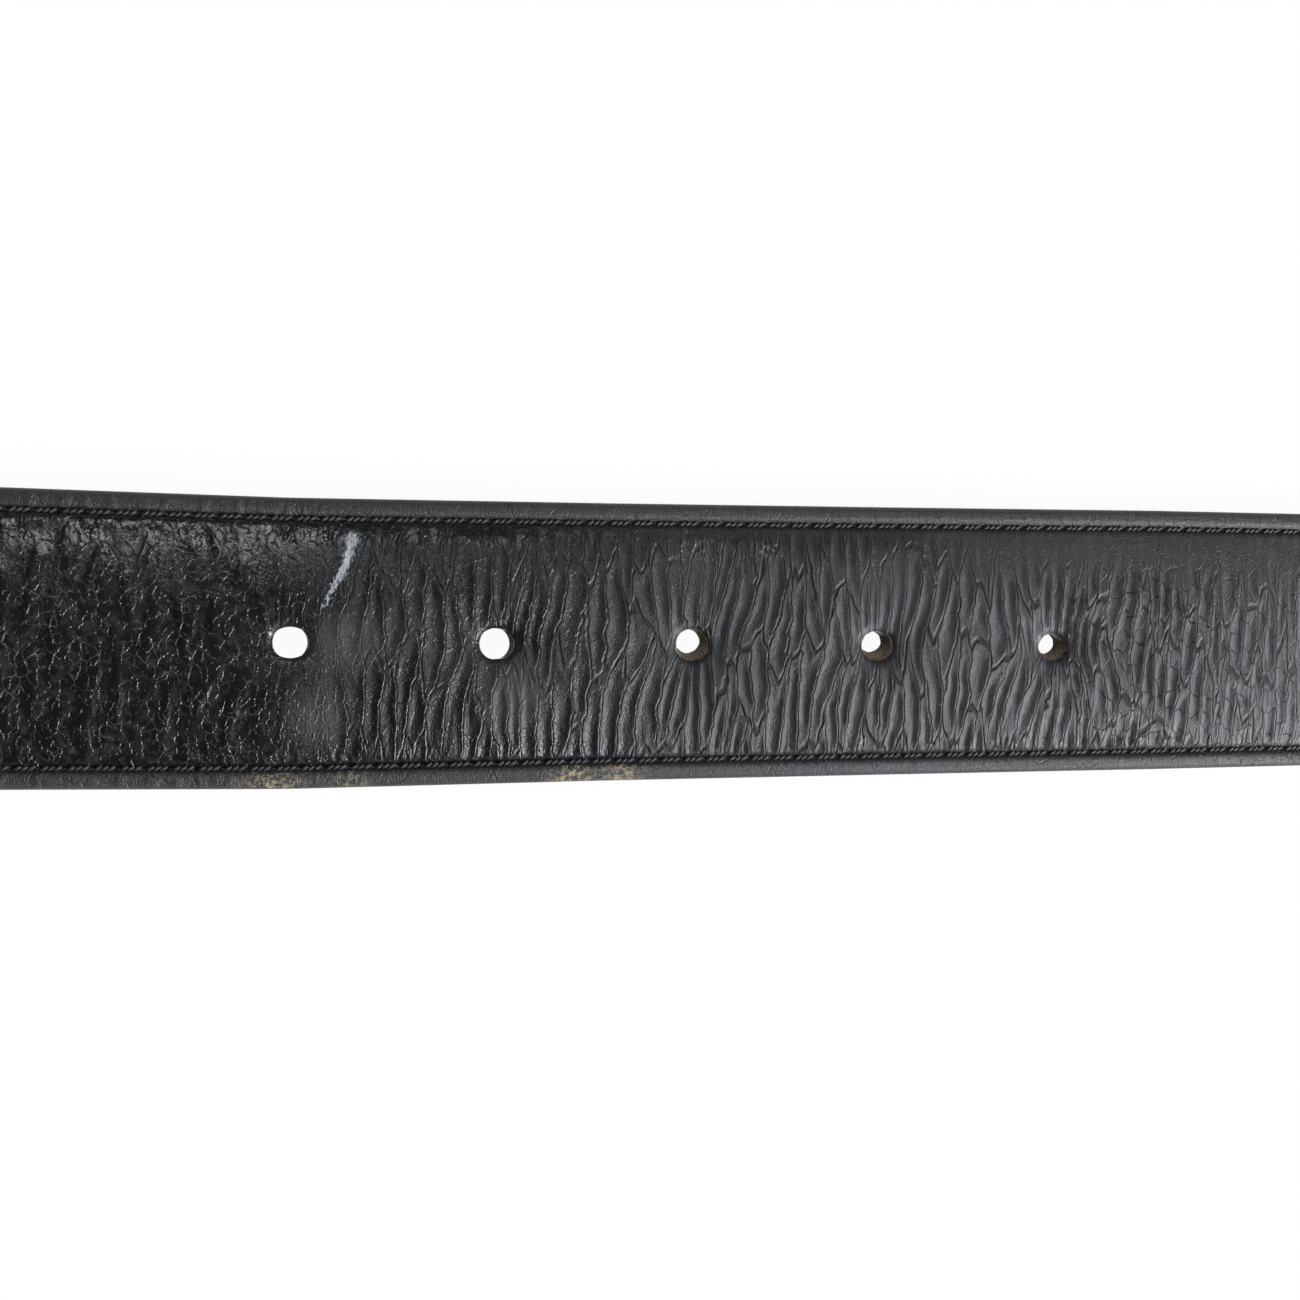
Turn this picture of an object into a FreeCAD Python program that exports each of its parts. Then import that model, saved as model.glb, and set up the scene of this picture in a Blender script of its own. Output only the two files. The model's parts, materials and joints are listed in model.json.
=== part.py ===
"""A gentleman's padded leather dress belt, as a parametric FreeCAD document.

The belt lies straight and face up: +X runs from the buckle to the tip, +Y across the strap, +Z up.
The origin is under the middle of its box. Every size is in millimetres and comes from the two sheets below.
"""

import FreeCAD, Part
import os

import Sketcher
from FreeCAD import Vector

# Driving dimensions. Each can be changed by itself.
SIZES = {
    # strap
    "belt_size": 900,          # bar to middle prong hole, the figure a belt is sold by
    "strap_width": 35,
    "hole_pitch": 25.4,
    "hole_count": 5,
    "hole_diameter": 4.4,
    "tip_reach": 105,          # last prong hole to the point of the tip
    "tip_taper": 24,
    "nose_half_width": 4,
    "nose_length": 1.6,
    # leather and fillings
    "face_thickness": 1.1,
    "lining_thickness": 1.1,
    "stiffener_thickness": 1.2,
    "padding_rise": 1.0,
    "padding_inset": 5,        # strap edge to padding edge
    "edge_radius": 1.0,
    "edge_wall": 0.9,          # face leather where it turns round the edge
    "turned_margin": 8,        # face leather turned under at each edge
    "margin_thickness": 0.6,
    "lining_inset": 0.9,
    "dome_fade": 8,            # length over which the padded dome sinks to flat
    # seams
    "seam_inset": 2.6,
    "seam_dip": 0.15,          # the seam's trough, below the top of the edge
    "thread_width": 0.7,
    "thread_height": 0.4,
    "bobbin_height": 0.25,
    # fold that holds the buckle
    "core_start": 44,          # bar to where the filled part of the strap begins
    "fold_ramp": 18,           # bar to where the upper ply runs level
    "tab_length": 76,
    "slot_width": 5.6,
    "slot_reach": 15,
    # buckle
    "bar_diameter": 3.2,
    "bar_clearance": 0.15,
    "frame_side_gap": 0.75,    # strap edge to frame
    "frame_rail": 4.6,
    "frame_front_rail": 5,
    "frame_reach": 31,         # bar to the front of the frame
    "lug_wall": 1.0,           # metal round the bar
    "frame_thickness": 3.7,
    "frame_crown": 1.3,        # height by which the frame's middle stands above its ends
    "frame_corner": 6,
    "window_corner": 2.5,
    "frame_edge_radius": 0.8,
    "prong_eye_wall": 1.1,
    "prong_eye_width": 4.8,
    "prong_width": 3.4,
    "prong_overhang": 1.2,     # prong's tip beyond the front rail
    "prong_edge_radius": 0.6,
    "prong_thickness": 2.2,
    "prong_gap": 0.3,          # prong to front rail
    # keeper
    "keeper_length": 12,
    "keeper_thickness": 1.0,
    "keeper_start": 24,        # bar to the keeper's near edge
    "keeper_side_gap": 0.5,
    "keeper_headroom": 4.9,    # space above the strap for the tip
    "keeper_seat_gap": 0.1,
    "staple_crown": 8,
    "staple_wire": 0.5,
    # binding screws
    "screw_start": 54,
    "screw_pitch": 13,
    "screw_count": 2,
    "screw_head_diameter": 8,
    "screw_head_height": 0.5,
    "screw_shank_diameter": 2.6,
    "post_diameter": 4,
    "post_flange_height": 0.5,
    "screw_slot_width": 0.9,
    "screw_slot_depth": 0.25,
    "joint_gap": 0.3,          # end of the tab to the end of the lining
}

# Positions that follow from the driving dimensions.
PLACES = {
    "half_width": "sizes.strap_width / 2",
    "bar_radius": "sizes.bar_diameter / 2",
    "hole_radius": "sizes.hole_diameter / 2",
    # heights
    "ply_bottom": "sizes.lining_thickness",
    "ply_top": "ply_bottom + sizes.stiffener_thickness",
    "edge_top": "ply_bottom + 2 * sizes.edge_radius",
    "seam_height": "edge_top - sizes.seam_dip",
    "flat_top": "ply_top + sizes.face_thickness",
    "dome_top": "flat_top + sizes.padding_rise",
    "groove_floor": "edge_top - sizes.thread_height",
    "fold_inner": "bar_radius + sizes.bar_clearance",
    "fold_outer": "fold_inner + sizes.face_thickness",
    "bar_height": "fold_outer",
    # lengths along the strap, from the bar
    "first_hole": "sizes.belt_size - (sizes.hole_count - 1) / 2 * sizes.hole_pitch",
    "hole_span": "(sizes.hole_count - 1) * sizes.hole_pitch",
    "tip": "sizes.belt_size + hole_span / 2 + sizes.tip_reach",
    "lining_start": "sizes.tab_length + sizes.joint_gap",
    "bar_place": "(sizes.frame_reach + sizes.prong_overhang - tip) / 2",
    # widths across the strap
    "seam_line": "half_width - sizes.seam_inset",
    "padding_edge": "half_width - sizes.padding_inset",
    "wall_line": "half_width - sizes.edge_wall",
    "margin_line": "half_width - sizes.turned_margin",
    "frame_inner": "half_width + sizes.frame_side_gap",
    "frame_outer": "frame_inner + sizes.frame_rail",
    "keeper_inner": "half_width + sizes.keeper_side_gap",
    "keeper_outer": "keeper_inner + sizes.keeper_thickness",
    # keeper heights
    "keeper_floor": "ply_bottom + sizes.keeper_seat_gap",
    "keeper_run_top": "keeper_floor + sizes.keeper_thickness",
    "keeper_roof": "flat_top + sizes.keeper_headroom",
    "keeper_top": "keeper_roof + sizes.keeper_thickness",
    # buckle: the frame's arch starts level with the bar and ends on the table
    "lug_radius": "bar_radius + sizes.lug_wall",
    "arch_bottom": "bar_height - sizes.frame_thickness / 2",
    "rail_inner": "sizes.frame_reach - sizes.frame_front_rail",
    "eye_inner": "bar_radius + 0.08",
    "eye_outer": "eye_inner + sizes.prong_eye_wall",
    "rail_share": "rail_inner / sizes.frame_reach",
    "rail_slope": "arch_bottom * (1 - rail_share) + 4 * sizes.frame_crown * rail_share * (1 - rail_share)",
    "prong_seat": "sizes.frame_thickness + rail_slope + sizes.prong_gap",
}

TINY_RISE = 0.03   # a dome this low is flat leather, but still an arc, so that lofts match
DOME_ARCS = 8      # arcs across a dome
SAME = 0.01        # two lengths closer than this count as equal

doc = FreeCAD.newDocument("belt")
sizes = doc.addObject("Spreadsheet::Sheet", "sizes")
places = doc.addObject("Spreadsheet::Sheet", "places")


def fill_sheets():
    """Writes the driving dimensions as plain numbers, and the positions as formulas."""
    for row, (name, value) in enumerate(SIZES.items(), 1):
        sizes.set(f"A{row}", name)
        sizes.set(f"B{row}", str(value))
        sizes.setAlias(f"B{row}", name)
    doc.recompute()
    for row, (name, formula) in enumerate(PLACES.items(), 1):
        places.set(f"A{row}", name)
        places.set(f"B{row}", "=" + formula)
        places.setAlias(f"B{row}", name)
        doc.recompute()


def number(formula):
    """What a formula on the sheets is worth now."""
    return float(places.evalExpression(formula))


# ---------------------------------------------------------------- sketches and features


def new_body(name):
    """A body whose place along X follows the sheets: its own zero is the buckle's bar."""
    body = doc.addObject("PartDesign::Body", name)
    body.Label = name
    body.setExpression("Placement.Base.x", "places.bar_place")
    return body


def new_sketch(body, name, plane, height=None):
    """A sketch on one of the body's own planes, moved along its normal by a formula."""
    sketch = body.newObject("Sketcher::SketchObject", name)
    found = [f for f in body.Origin.OriginFeatures if f.Role == plane]
    sketch.AttachmentSupport = [(found[0], "")]
    sketch.MapMode = "FlatFace"
    if height:
        sketch.setExpression("AttachmentOffset.Base.z", height)
    return sketch


def bind(sketch, kind, *where, formula):
    """Adds a constraint and ties its value to a formula."""
    index = sketch.addConstraint(Sketcher.Constraint(kind, *where, number(formula)))
    name = f"c{index}"
    sketch.renameConstraint(index, name)
    sketch.setExpression(f"Constraints.{name}", formula)


def arc_through(start, end, radius):
    """The minor arc from start to end. It turns left for a positive radius, right for a negative one."""
    middle, chord = (start + end) / 2, end - start
    left = Vector(-chord.y, chord.x, 0).normalize()
    rise = max(radius * radius - chord.Length ** 2 / 4, 0) ** 0.5
    centre = middle + left * (rise if radius > 0 else -rise)
    first, last = (start, end) if radius > 0 else (end, start)
    circle = Part.Circle(centre, Vector(0, 0, 1), abs(radius))
    return Part.ArcOfCircle(circle, circle.parameter(first), circle.parameter(last))


def draw(sketch, corners):
    """Draws one closed outline. A corner is (x formula, y formula) and, where an arc leaves it, a radius
    formula and +1 for an arc that turns left or -1 for one that turns right."""
    first = sketch.GeometryCount
    points = [Vector(number(c[0]), number(c[1]), 0) for c in corners]
    ends = []
    for i, corner in enumerate(corners):
        start, end = points[i], points[(i + 1) % len(points)]
        if len(corner) == 2:
            sketch.addGeometry(Part.LineSegment(start, end), False)
            ends.append((1, 2))
        else:
            turn = corner[3]
            sketch.addGeometry(arc_through(start, end, turn * number(corner[2])), False)
            ends.append((1, 2) if turn > 0 else (2, 1))
    for i, corner in enumerate(corners):
        here, following = first + i, first + (i + 1) % len(corners)
        sketch.addConstraint(
            Sketcher.Constraint("Coincident", here, ends[i][1], following, ends[following - first][0])
        )
        bind(sketch, "DistanceX", -1, 1, here, ends[i][0], formula=corner[0])
        bind(sketch, "DistanceY", -1, 1, here, ends[i][0], formula=corner[1])
        if len(corner) == 4:
            bind(sketch, "Radius", here, formula=corner[2])


def draw_circle(sketch, x, y, radius):
    """Draws a circle from formulas for its centre and radius."""
    centre = Vector(number(x), number(y), 0)
    index = sketch.addGeometry(Part.Circle(centre, Vector(0, 0, 1), number(radius)), False)
    bind(sketch, "DistanceX", -1, 1, index, 3, formula=x)
    bind(sketch, "DistanceY", -1, 1, index, 3, formula=y)
    bind(sketch, "Radius", index, formula=radius)


def pad(body, sketch, length, both_ways=False):
    """Raises a sketch by a formula's length."""
    feature = body.newObject("PartDesign::Pad", "pad_" + sketch.Name)
    feature.Profile = sketch
    feature.SideType = "Symmetric" if both_ways else "One side"
    feature.setExpression("Length", length)
    doc.recompute()
    return feature


def cut_up(body, sketch, depth=None):
    """Cuts a sketch towards +Z of its plane, by a formula's depth or right through."""
    before = body.Shape.Volume
    feature = body.newObject("PartDesign::Pocket", "cut_" + sketch.Name)
    feature.Profile = sketch
    feature.Reversed = True
    if depth:
        feature.setExpression("Length", depth)
    else:
        feature.Type = "ThroughAll"
    doc.recompute()
    if body.Shape.Volume > before - 1e-3:
        raise RuntimeError(f"{feature.Name} cut nothing")
    return feature


def repeat(body, features, count, pitch):
    """Repeats features along X, with their count and pitch from formulas."""
    pattern = body.newObject("PartDesign::LinearPattern", "row_" + features[0].Name)
    pattern.Originals = features
    axis = [f for f in body.Origin.OriginFeatures if f.Role == "X_Axis"][0]
    pattern.Direction = (axis, [""])
    pattern.Mode = "Extent"
    pattern.setExpression("Occurrences", count)
    pattern.setExpression("Length", f"({count} - 1) * {pitch}")
    body.Tip = pattern
    doc.recompute()
    return pattern


def loft(body, sections):
    """Straight loft through sketches in order."""
    feature = body.newObject("PartDesign::AdditiveLoft", "loft_" + sections[0].Name)
    feature.Profile = sections[0]
    feature.Sections = sections[1:]
    feature.Ruled = True
    doc.recompute()
    return feature


def round_edges(body, radius, chosen):
    """Fillets the edges that the test picks out, by a formula's radius."""
    base = body.Tip
    names = [f"Edge{i}" for i, edge in enumerate(base.Shape.Edges, 1) if chosen(edge)]
    feature = body.newObject("PartDesign::Fillet", "round_" + base.Name)
    feature.Base = (base, names)
    feature.setExpression("Radius", radius)
    doc.recompute()
    return feature


# ---------------------------------------------------------------- outlines that pieces share


def tip_corners(inset, sign=1):
    """The tip's outline from one edge of the strap to the other, as seen from above, drawn in by inset."""
    edge = f"(places.half_width - {inset})"
    start = "places.tip - sizes.tip_taper"
    end = f"places.tip - {inset}"
    run = f"({end} - ({start}) - sizes.nose_length)"
    side = f"({edge} - sizes.nose_half_width)"
    flank = f"({run} ^ 2 + {side} ^ 2) / (2 * {side})"
    nose = "(sizes.nose_half_width ^ 2 + sizes.nose_length ^ 2) / (2 * sizes.nose_length)"
    shoulder = f"{end} - sizes.nose_length"
    lower, upper = ("-", "") if sign > 0 else ("", "-")
    return [
        (start, lower + edge, flank, sign),
        (shoulder, lower + "sizes.nose_half_width", nose, sign),
        (shoulder, upper + "sizes.nose_half_width", flank, sign),
        (start, upper + edge),
    ]


def trim_tip(body, inset="0"):
    """Cuts away what lies outside the tip's outline."""
    sketch = new_sketch(body, f"{body.Name}_tip", "XY_Plane")
    beyond = "places.half_width + 5"
    draw(
        sketch,
        tip_corners(inset)
        + [
            ("places.tip - sizes.tip_taper", beyond),
            ("places.tip + 5", beyond),
            ("places.tip + 5", f"-({beyond})"),
            ("places.tip - sizes.tip_taper", f"-({beyond})"),
        ],
    )
    return cut_up(body, sketch)


def seam_ring(body, name, start, height):
    """The seam's path from above: along one edge, round the tip and back along the other."""
    sketch = new_sketch(body, name, "XY_Plane", height)
    outer, inner = "(sizes.seam_inset - sizes.thread_width / 2)", "(sizes.seam_inset + sizes.thread_width / 2)"
    draw(
        sketch,
        [(start, f"-(places.half_width - {outer})")]
        + tip_corners(outer)
        + [(start, f"places.half_width - {outer}"), (start, f"places.half_width - {inner}")]
        + tip_corners(inner, -1)
        + [(start, f"-(places.half_width - {inner})")],
    )
    return sketch


def punch_holes(body):
    """The row of prong holes."""
    sketch = new_sketch(body, f"{body.Name}_hole", "XY_Plane")
    draw_circle(sketch, "places.first_hole", "0", "places.hole_radius")
    return repeat(body, [cut_up(body, sketch)], "sizes.hole_count", "sizes.hole_pitch")


def punch_screw_holes(body, name, radius, height=None, depth=None):
    """Holes or recesses for the binding screws, from a height upwards."""
    sketch = new_sketch(body, f"{body.Name}_{name}", "XY_Plane", height)
    draw_circle(sketch, "sizes.screw_start", "0", radius)
    return repeat(body, [cut_up(body, sketch, depth)], "sizes.screw_count", "sizes.screw_pitch")


def dome_radius(half_chord, rise):
    """Radius of an arc from its half chord and its rise."""
    return f"((({half_chord}) ^ 2 + ({rise}) ^ 2) / (2 * ({rise})))"


def dome(base, half_chord, rise, turn):
    """One shallow arch in DOME_ARCS arcs of the same circle, from +Y to -Y for turn +1 or back for -1.
    It leaves out its last corner. The short arcs keep a long, thin piece finely shaped across its width."""
    radius = dome_radius(half_chord, rise)
    corners = []
    for i in range(DOME_ARCS):
        across = f"({turn * (1 - 2 * i / DOME_ARCS)} * ({half_chord}))"
        height = f"{base} + {rise} - {radius} + sqrt({radius} ^ 2 - {across} ^ 2)"
        corners.append((across, base if i == 0 else height, radius, turn))
    return corners


def dome_stations():
    """Where the strap's section changes: flat at the fold, domed along the run, flat at the tip."""
    run_end = "places.tip - sizes.tip_taper"
    return [
        ("sizes.core_start", "0"),
        ("sizes.core_start + sizes.dome_fade", "1"),
        (f"{run_end} - 2 * sizes.dome_fade", "1"),
        (run_end, "0"),
        ("places.tip", "0"),
    ]


# ---------------------------------------------------------------- the strap


def face_section(body, name, station, share):
    """The face leather cut across: a domed ply that turns round both edges and a little way under."""
    rise_in = f"({share} * sizes.padding_rise + (1 - {share}) * {TINY_RISE})"
    rise_out = f"(places.flat_top - places.seam_height + {share} * sizes.padding_rise)"
    sketch = new_sketch(body, name, "YZ_Plane", station)
    margin_top = "places.ply_bottom + sizes.margin_thickness"
    turn = "places.half_width - sizes.edge_radius"
    draw(
        sketch,
        [
            ("places.margin_line", "places.ply_bottom"),
            (turn, "places.ply_bottom", "sizes.edge_radius * 1.0001", 1),
            (turn, "places.edge_top"),
            *dome("places.seam_height", "places.seam_line", rise_out, 1),
            ("-places.seam_line", "places.seam_height"),
            (f"-({turn})", "places.edge_top", "sizes.edge_radius * 1.0001", 1),
            (f"-({turn})", "places.ply_bottom"),
            ("-places.margin_line", "places.ply_bottom"),
            ("-places.margin_line", margin_top),
            ("-places.wall_line", margin_top),
            ("-places.wall_line", "places.ply_top"),
            *dome("places.ply_top", "places.padding_edge", rise_in, -1),
            ("places.padding_edge", "places.ply_top"),
            ("places.wall_line", "places.ply_top"),
            ("places.wall_line", margin_top),
            ("places.margin_line", margin_top),
        ],
    )
    return sketch


def fold_profile(body):
    """The fold seen from the side: a tab on the table, round the bar, and back up to the upper ply."""
    top, under = "places.flat_top", "places.ply_top"
    lap = "sizes.core_start + 0.5"
    sketch = new_sketch(body, "fold", "XZ_Plane")
    sink = "(2 * places.bar_height - places.flat_top)"
    bend = f"(sizes.fold_ramp ^ 2 + {sink} ^ 2) / (2 * {sink}) / 2"
    waist = "sizes.fold_ramp / 2"
    waist_top = f"places.flat_top + {sink} / 2"
    draw(
        sketch,
        [
            ("sizes.tab_length", "0"),
            ("sizes.tab_length", "sizes.face_thickness"),
            ("0", "sizes.face_thickness", "places.fold_inner * 1.0001", -1),
            ("0", "places.bar_height + places.fold_inner", f"{bend} - sizes.face_thickness", -1),
            (waist, f"{waist_top} - sizes.face_thickness", f"{bend} + sizes.face_thickness", 1),
            ("sizes.fold_ramp", under),
            (lap, under),
            (lap, top),
            ("sizes.fold_ramp", top, bend, -1),
            (waist, waist_top, bend, 1),
            ("0", "2 * places.bar_height", "places.fold_outer * 1.0001", 1),
            ("0", "0"),
        ],
    )
    return sketch


def build_face_leather():
    """One long piece of grained leather: the face, its turned edges, and the fold with its tab."""
    body = new_body("face_leather")
    sections = [
        face_section(body, f"face_at_{i}", station, share)
        for i, (station, share) in enumerate(dome_stations())
    ]
    loft(body, sections)
    pad(body, fold_profile(body), "sizes.strap_width", both_ways=True)
    trim_tip(body)
    cut_up(body, seam_ring(body, "seam_channel", "sizes.core_start + 3", "places.groove_floor"), "5")
    slot = new_sketch(body, "prong_slot", "XY_Plane")
    half = "sizes.slot_width / 2"
    draw(
        slot,
        [
            ("-(places.fold_outer + 2)", f"-{half}"),
            ("sizes.slot_reach", f"-{half}", f"{half} * 1.0001", 1),
            ("sizes.slot_reach", half),
            ("-(places.fold_outer + 2)", half),
        ],
    )
    cut_up(body, slot)
    punch_holes(body)
    punch_screw_holes(body, "head_seat", "sizes.screw_head_diameter / 2", depth="sizes.screw_head_height")
    punch_screw_holes(body, "post_way", "sizes.post_diameter / 2", depth="sizes.face_thickness")
    return body


def build_padding():
    """The soft strip that raises the middle of the strap."""
    body = new_body("padding")
    sections = []
    for i, (station, share) in enumerate(dome_stations()[:-1]):
        rise = f"({share} * sizes.padding_rise + (1 - {share}) * {TINY_RISE})"
        sketch = new_sketch(body, f"padding_at_{i}", "YZ_Plane", station)
        draw(
            sketch,
            [
                *dome("places.ply_top", "places.padding_edge", rise, 1),
                ("-places.padding_edge", "places.ply_top"),
            ],
        )
        sections.append(sketch)
    loft(body, sections)
    punch_holes(body)
    punch_screw_holes(
        body, "flange_seat", "sizes.screw_head_diameter / 2", "places.ply_top", "sizes.post_flange_height"
    )
    return body


def build_stiffener():
    """The firm fibre core, thinned at its sides to take the turned margins of the face leather."""
    body = new_body("stiffener")
    sketch = new_sketch(body, "stiffener_section", "YZ_Plane", "sizes.core_start")
    margin_top = "places.ply_bottom + sizes.margin_thickness"
    draw(
        sketch,
        [
            ("-places.margin_line", "places.ply_bottom"),
            ("places.margin_line", "places.ply_bottom"),
            ("places.margin_line", margin_top),
            ("places.wall_line", margin_top),
            ("places.wall_line", "places.ply_top"),
            ("-places.wall_line", "places.ply_top"),
            ("-places.wall_line", margin_top),
            ("-places.margin_line", margin_top),
        ],
    )
    pad(body, sketch, "places.tip - sizes.core_start")
    trim_tip(body, "sizes.seam_inset")
    punch_holes(body)
    punch_screw_holes(body, "post_way", "sizes.post_diameter / 2")
    return body


def build_lining():
    """The smooth back leather, from the end of the tab to the tip."""
    body = new_body("lining")
    sketch = new_sketch(body, "lining_section", "YZ_Plane", "places.lining_start")
    edge = "places.half_width - sizes.lining_inset"
    soft = "0.4"
    draw(
        sketch,
        [
            (f"-({edge} - {soft})", "0"),
            (f"{edge} - {soft}", "0", f"{soft} * 1.0001", 1),
            (edge, soft),
            (edge, "sizes.lining_thickness"),
            (f"-({edge})", "sizes.lining_thickness"),
            (f"-({edge})", soft, f"{soft} * 1.0001", 1),
        ],
    )
    pad(body, sketch, "places.tip - places.lining_start")
    trim_tip(body, "sizes.lining_inset")
    cut_up(body, seam_ring(body, "bobbin_channel", "places.lining_start + 3", "0"), "sizes.bobbin_height")
    punch_holes(body)
    return body


def build_threads():
    """The lockstitch seam's two threads, each lying in its channel."""
    needle = new_body("needle_thread")
    pad(needle, seam_ring(needle, "needle_path", "sizes.core_start + 3", "places.groove_floor"), "sizes.thread_height")
    bobbin = new_body("bobbin_thread")
    pad(bobbin, seam_ring(bobbin, "bobbin_path", "places.lining_start + 3", "0"), "sizes.bobbin_height")
    return [needle, bobbin]


# ---------------------------------------------------------------- the keeper


def build_keeper():
    """The leather loop held in the fold. Its ends meet under the upper ply, where a staple joins them."""
    body = new_body("keeper_loop")
    sketch = new_sketch(body, "keeper_ring", "YZ_Plane", "sizes.keeper_start")
    soft_out, soft_in = "2.2", "1.2"
    for half, low, high, soft in (
        ("places.keeper_outer", "places.keeper_floor", "places.keeper_top", soft_out),
        ("places.keeper_inner", "places.keeper_run_top", "places.keeper_roof", soft_in),
    ):
        low_soft = "0.3" if soft == soft_in else "0.9"
        draw(
            sketch,
            [
                (f"-({half} - {low_soft})", low),
                (f"{half} - {low_soft}", low, low_soft, 1),
                (half, f"{low} + {low_soft}"),
                (half, f"{high} - {soft}", soft, 1),
                (f"{half} - {soft}", high),
                (f"-({half} - {soft})", high, soft, 1),
                (f"-({half})", f"{high} - {soft}"),
                (f"-({half})", f"{low} + {low_soft}", low_soft, 1),
            ],
        )
    pad(body, sketch, "sizes.keeper_length")
    butt = new_sketch(body, "butt_joint", "XY_Plane", "places.keeper_floor - 0.1")
    draw(butt, rectangle("sizes.keeper_start - 1", "-0.1", "sizes.keeper_start + sizes.keeper_length + 1", "0.1"))
    cut_up(body, butt, "sizes.keeper_thickness + 0.2")
    crown = new_sketch(body, "crown_seat", "XY_Plane", "places.keeper_floor - 0.1")
    draw(crown, staple_crown_outline())
    cut_up(body, crown, "0.1 + sizes.staple_wire")
    for side in ("-", ""):
        leg = new_sketch(body, f"leg_way_{len(side)}", "XY_Plane", "places.keeper_floor")
        draw(leg, staple_leg_outline(side))
        cut_up(body, leg, "sizes.keeper_thickness + 0.05")
    return body


def rectangle(low_x, low_y, high_x, high_y):
    return [(low_x, low_y), (high_x, low_y), (high_x, high_y), (low_x, high_y)]


def staple_crown_outline():
    """The staple's back, across the joint in the middle of the keeper."""
    middle = "sizes.keeper_start + sizes.keeper_length / 2"
    wire, reach = "sizes.staple_wire / 2", "sizes.staple_crown / 2"
    return rectangle(f"{middle} - {wire}", f"-({reach})", f"{middle} + {wire}", reach)


def staple_leg_outline(side):
    middle = "sizes.keeper_start + sizes.keeper_length / 2"
    wire, reach = "sizes.staple_wire / 2", "sizes.staple_crown / 2"
    near, far = f"{side}({reach} - sizes.staple_wire)", f"{side}({reach})"
    low_y, high_y = (far, near) if side else (near, far)
    return rectangle(f"{middle} - {wire}", low_y, f"{middle} + {wire}", high_y)


def build_staple():
    """A wire staple: a crown under the keeper's joint and two legs up through the leather."""
    body = new_body("keeper_staple")
    crown = new_sketch(body, "staple_crown", "XY_Plane", "places.keeper_floor")
    draw(crown, staple_crown_outline())
    pad(body, crown, "sizes.staple_wire")
    for side in ("-", ""):
        leg = new_sketch(body, f"staple_leg_{len(side)}", "XY_Plane", "places.keeper_floor")
        draw(leg, staple_leg_outline(side))
        pad(body, leg, "sizes.keeper_thickness")
    return body


# ---------------------------------------------------------------- the buckle


def build_frame():
    """The cast frame: two side rails, a front rail for the prong to rest on, and round lugs for the bar."""
    body = new_body("buckle_frame")
    arch = new_sketch(body, "frame_arch", "XZ_Plane")
    crown = dome_radius("sizes.frame_reach / 2", "sizes.frame_crown")
    draw(
        arch,
        [
            ("0", "places.arch_bottom"),
            ("0", "places.arch_bottom + sizes.frame_thickness", crown, 1),
            ("-sizes.frame_reach", "sizes.frame_thickness"),
            ("-sizes.frame_reach", "0", crown, -1),
        ],
    )
    pad(body, arch, "2 * places.frame_outer", both_ways=True)
    lug = new_sketch(body, "frame_lug", "XZ_Plane")
    draw_circle(lug, "0", "places.bar_height", "places.lug_radius")
    pad(body, lug, "2 * places.frame_outer", both_ways=True)
    window = new_sketch(body, "frame_window", "XY_Plane", "-1")
    inner, back, front = "places.frame_inner", "places.lug_radius + 1", "places.rail_inner"
    soft = "sizes.window_corner"
    draw(
        window,
        [
            (back, f"-{inner}"),
            (back, inner),
            (f"-({front} - {soft})", inner, soft, 1),
            (f"-{front}", f"{inner} - {soft}"),
            (f"-{front}", f"-({inner} - {soft})", soft, 1),
            (f"-({front} - {soft})", f"-{inner}"),
        ],
    )
    cut_up(body, window)
    outer = number("places.frame_outer")

    def stands_at_outer_corner(edge):
        box = edge.BoundBox
        upright = box.ZLength > box.XLength and box.YLength < SAME
        return upright and abs(abs(box.Center.y) - outer) < SAME and box.Center.x < -outer

    round_edges(body, "sizes.frame_corner", stands_at_outer_corner)
    round_edges(body, "sizes.frame_edge_radius", lambda edge: True)
    bore = new_sketch(body, "bar_way", "XZ_Plane", "-(places.frame_outer + 1)")
    draw_circle(bore, "0", "places.bar_height", "places.bar_radius")
    cut_up(body, bore)
    return body


def build_bar():
    """The steel bar, pressed into the frame's lugs, that the fold and the prong turn on."""
    bar = doc.addObject("Part::Cylinder", "buckle_bar")
    bar.Label = "buckle_bar"
    bar.setExpression("Radius", "places.bar_radius")
    bar.setExpression("Height", "2 * (places.frame_outer - 0.5)")
    bar.Placement = FreeCAD.Placement(Vector(), FreeCAD.Rotation(Vector(1, 0, 0), -90))
    bar.setExpression("Placement.Base.x", "places.bar_place")
    bar.setExpression("Placement.Base.y", "-(places.frame_outer - 0.5)")
    bar.setExpression("Placement.Base.z", "places.bar_height")
    return bar


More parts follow.
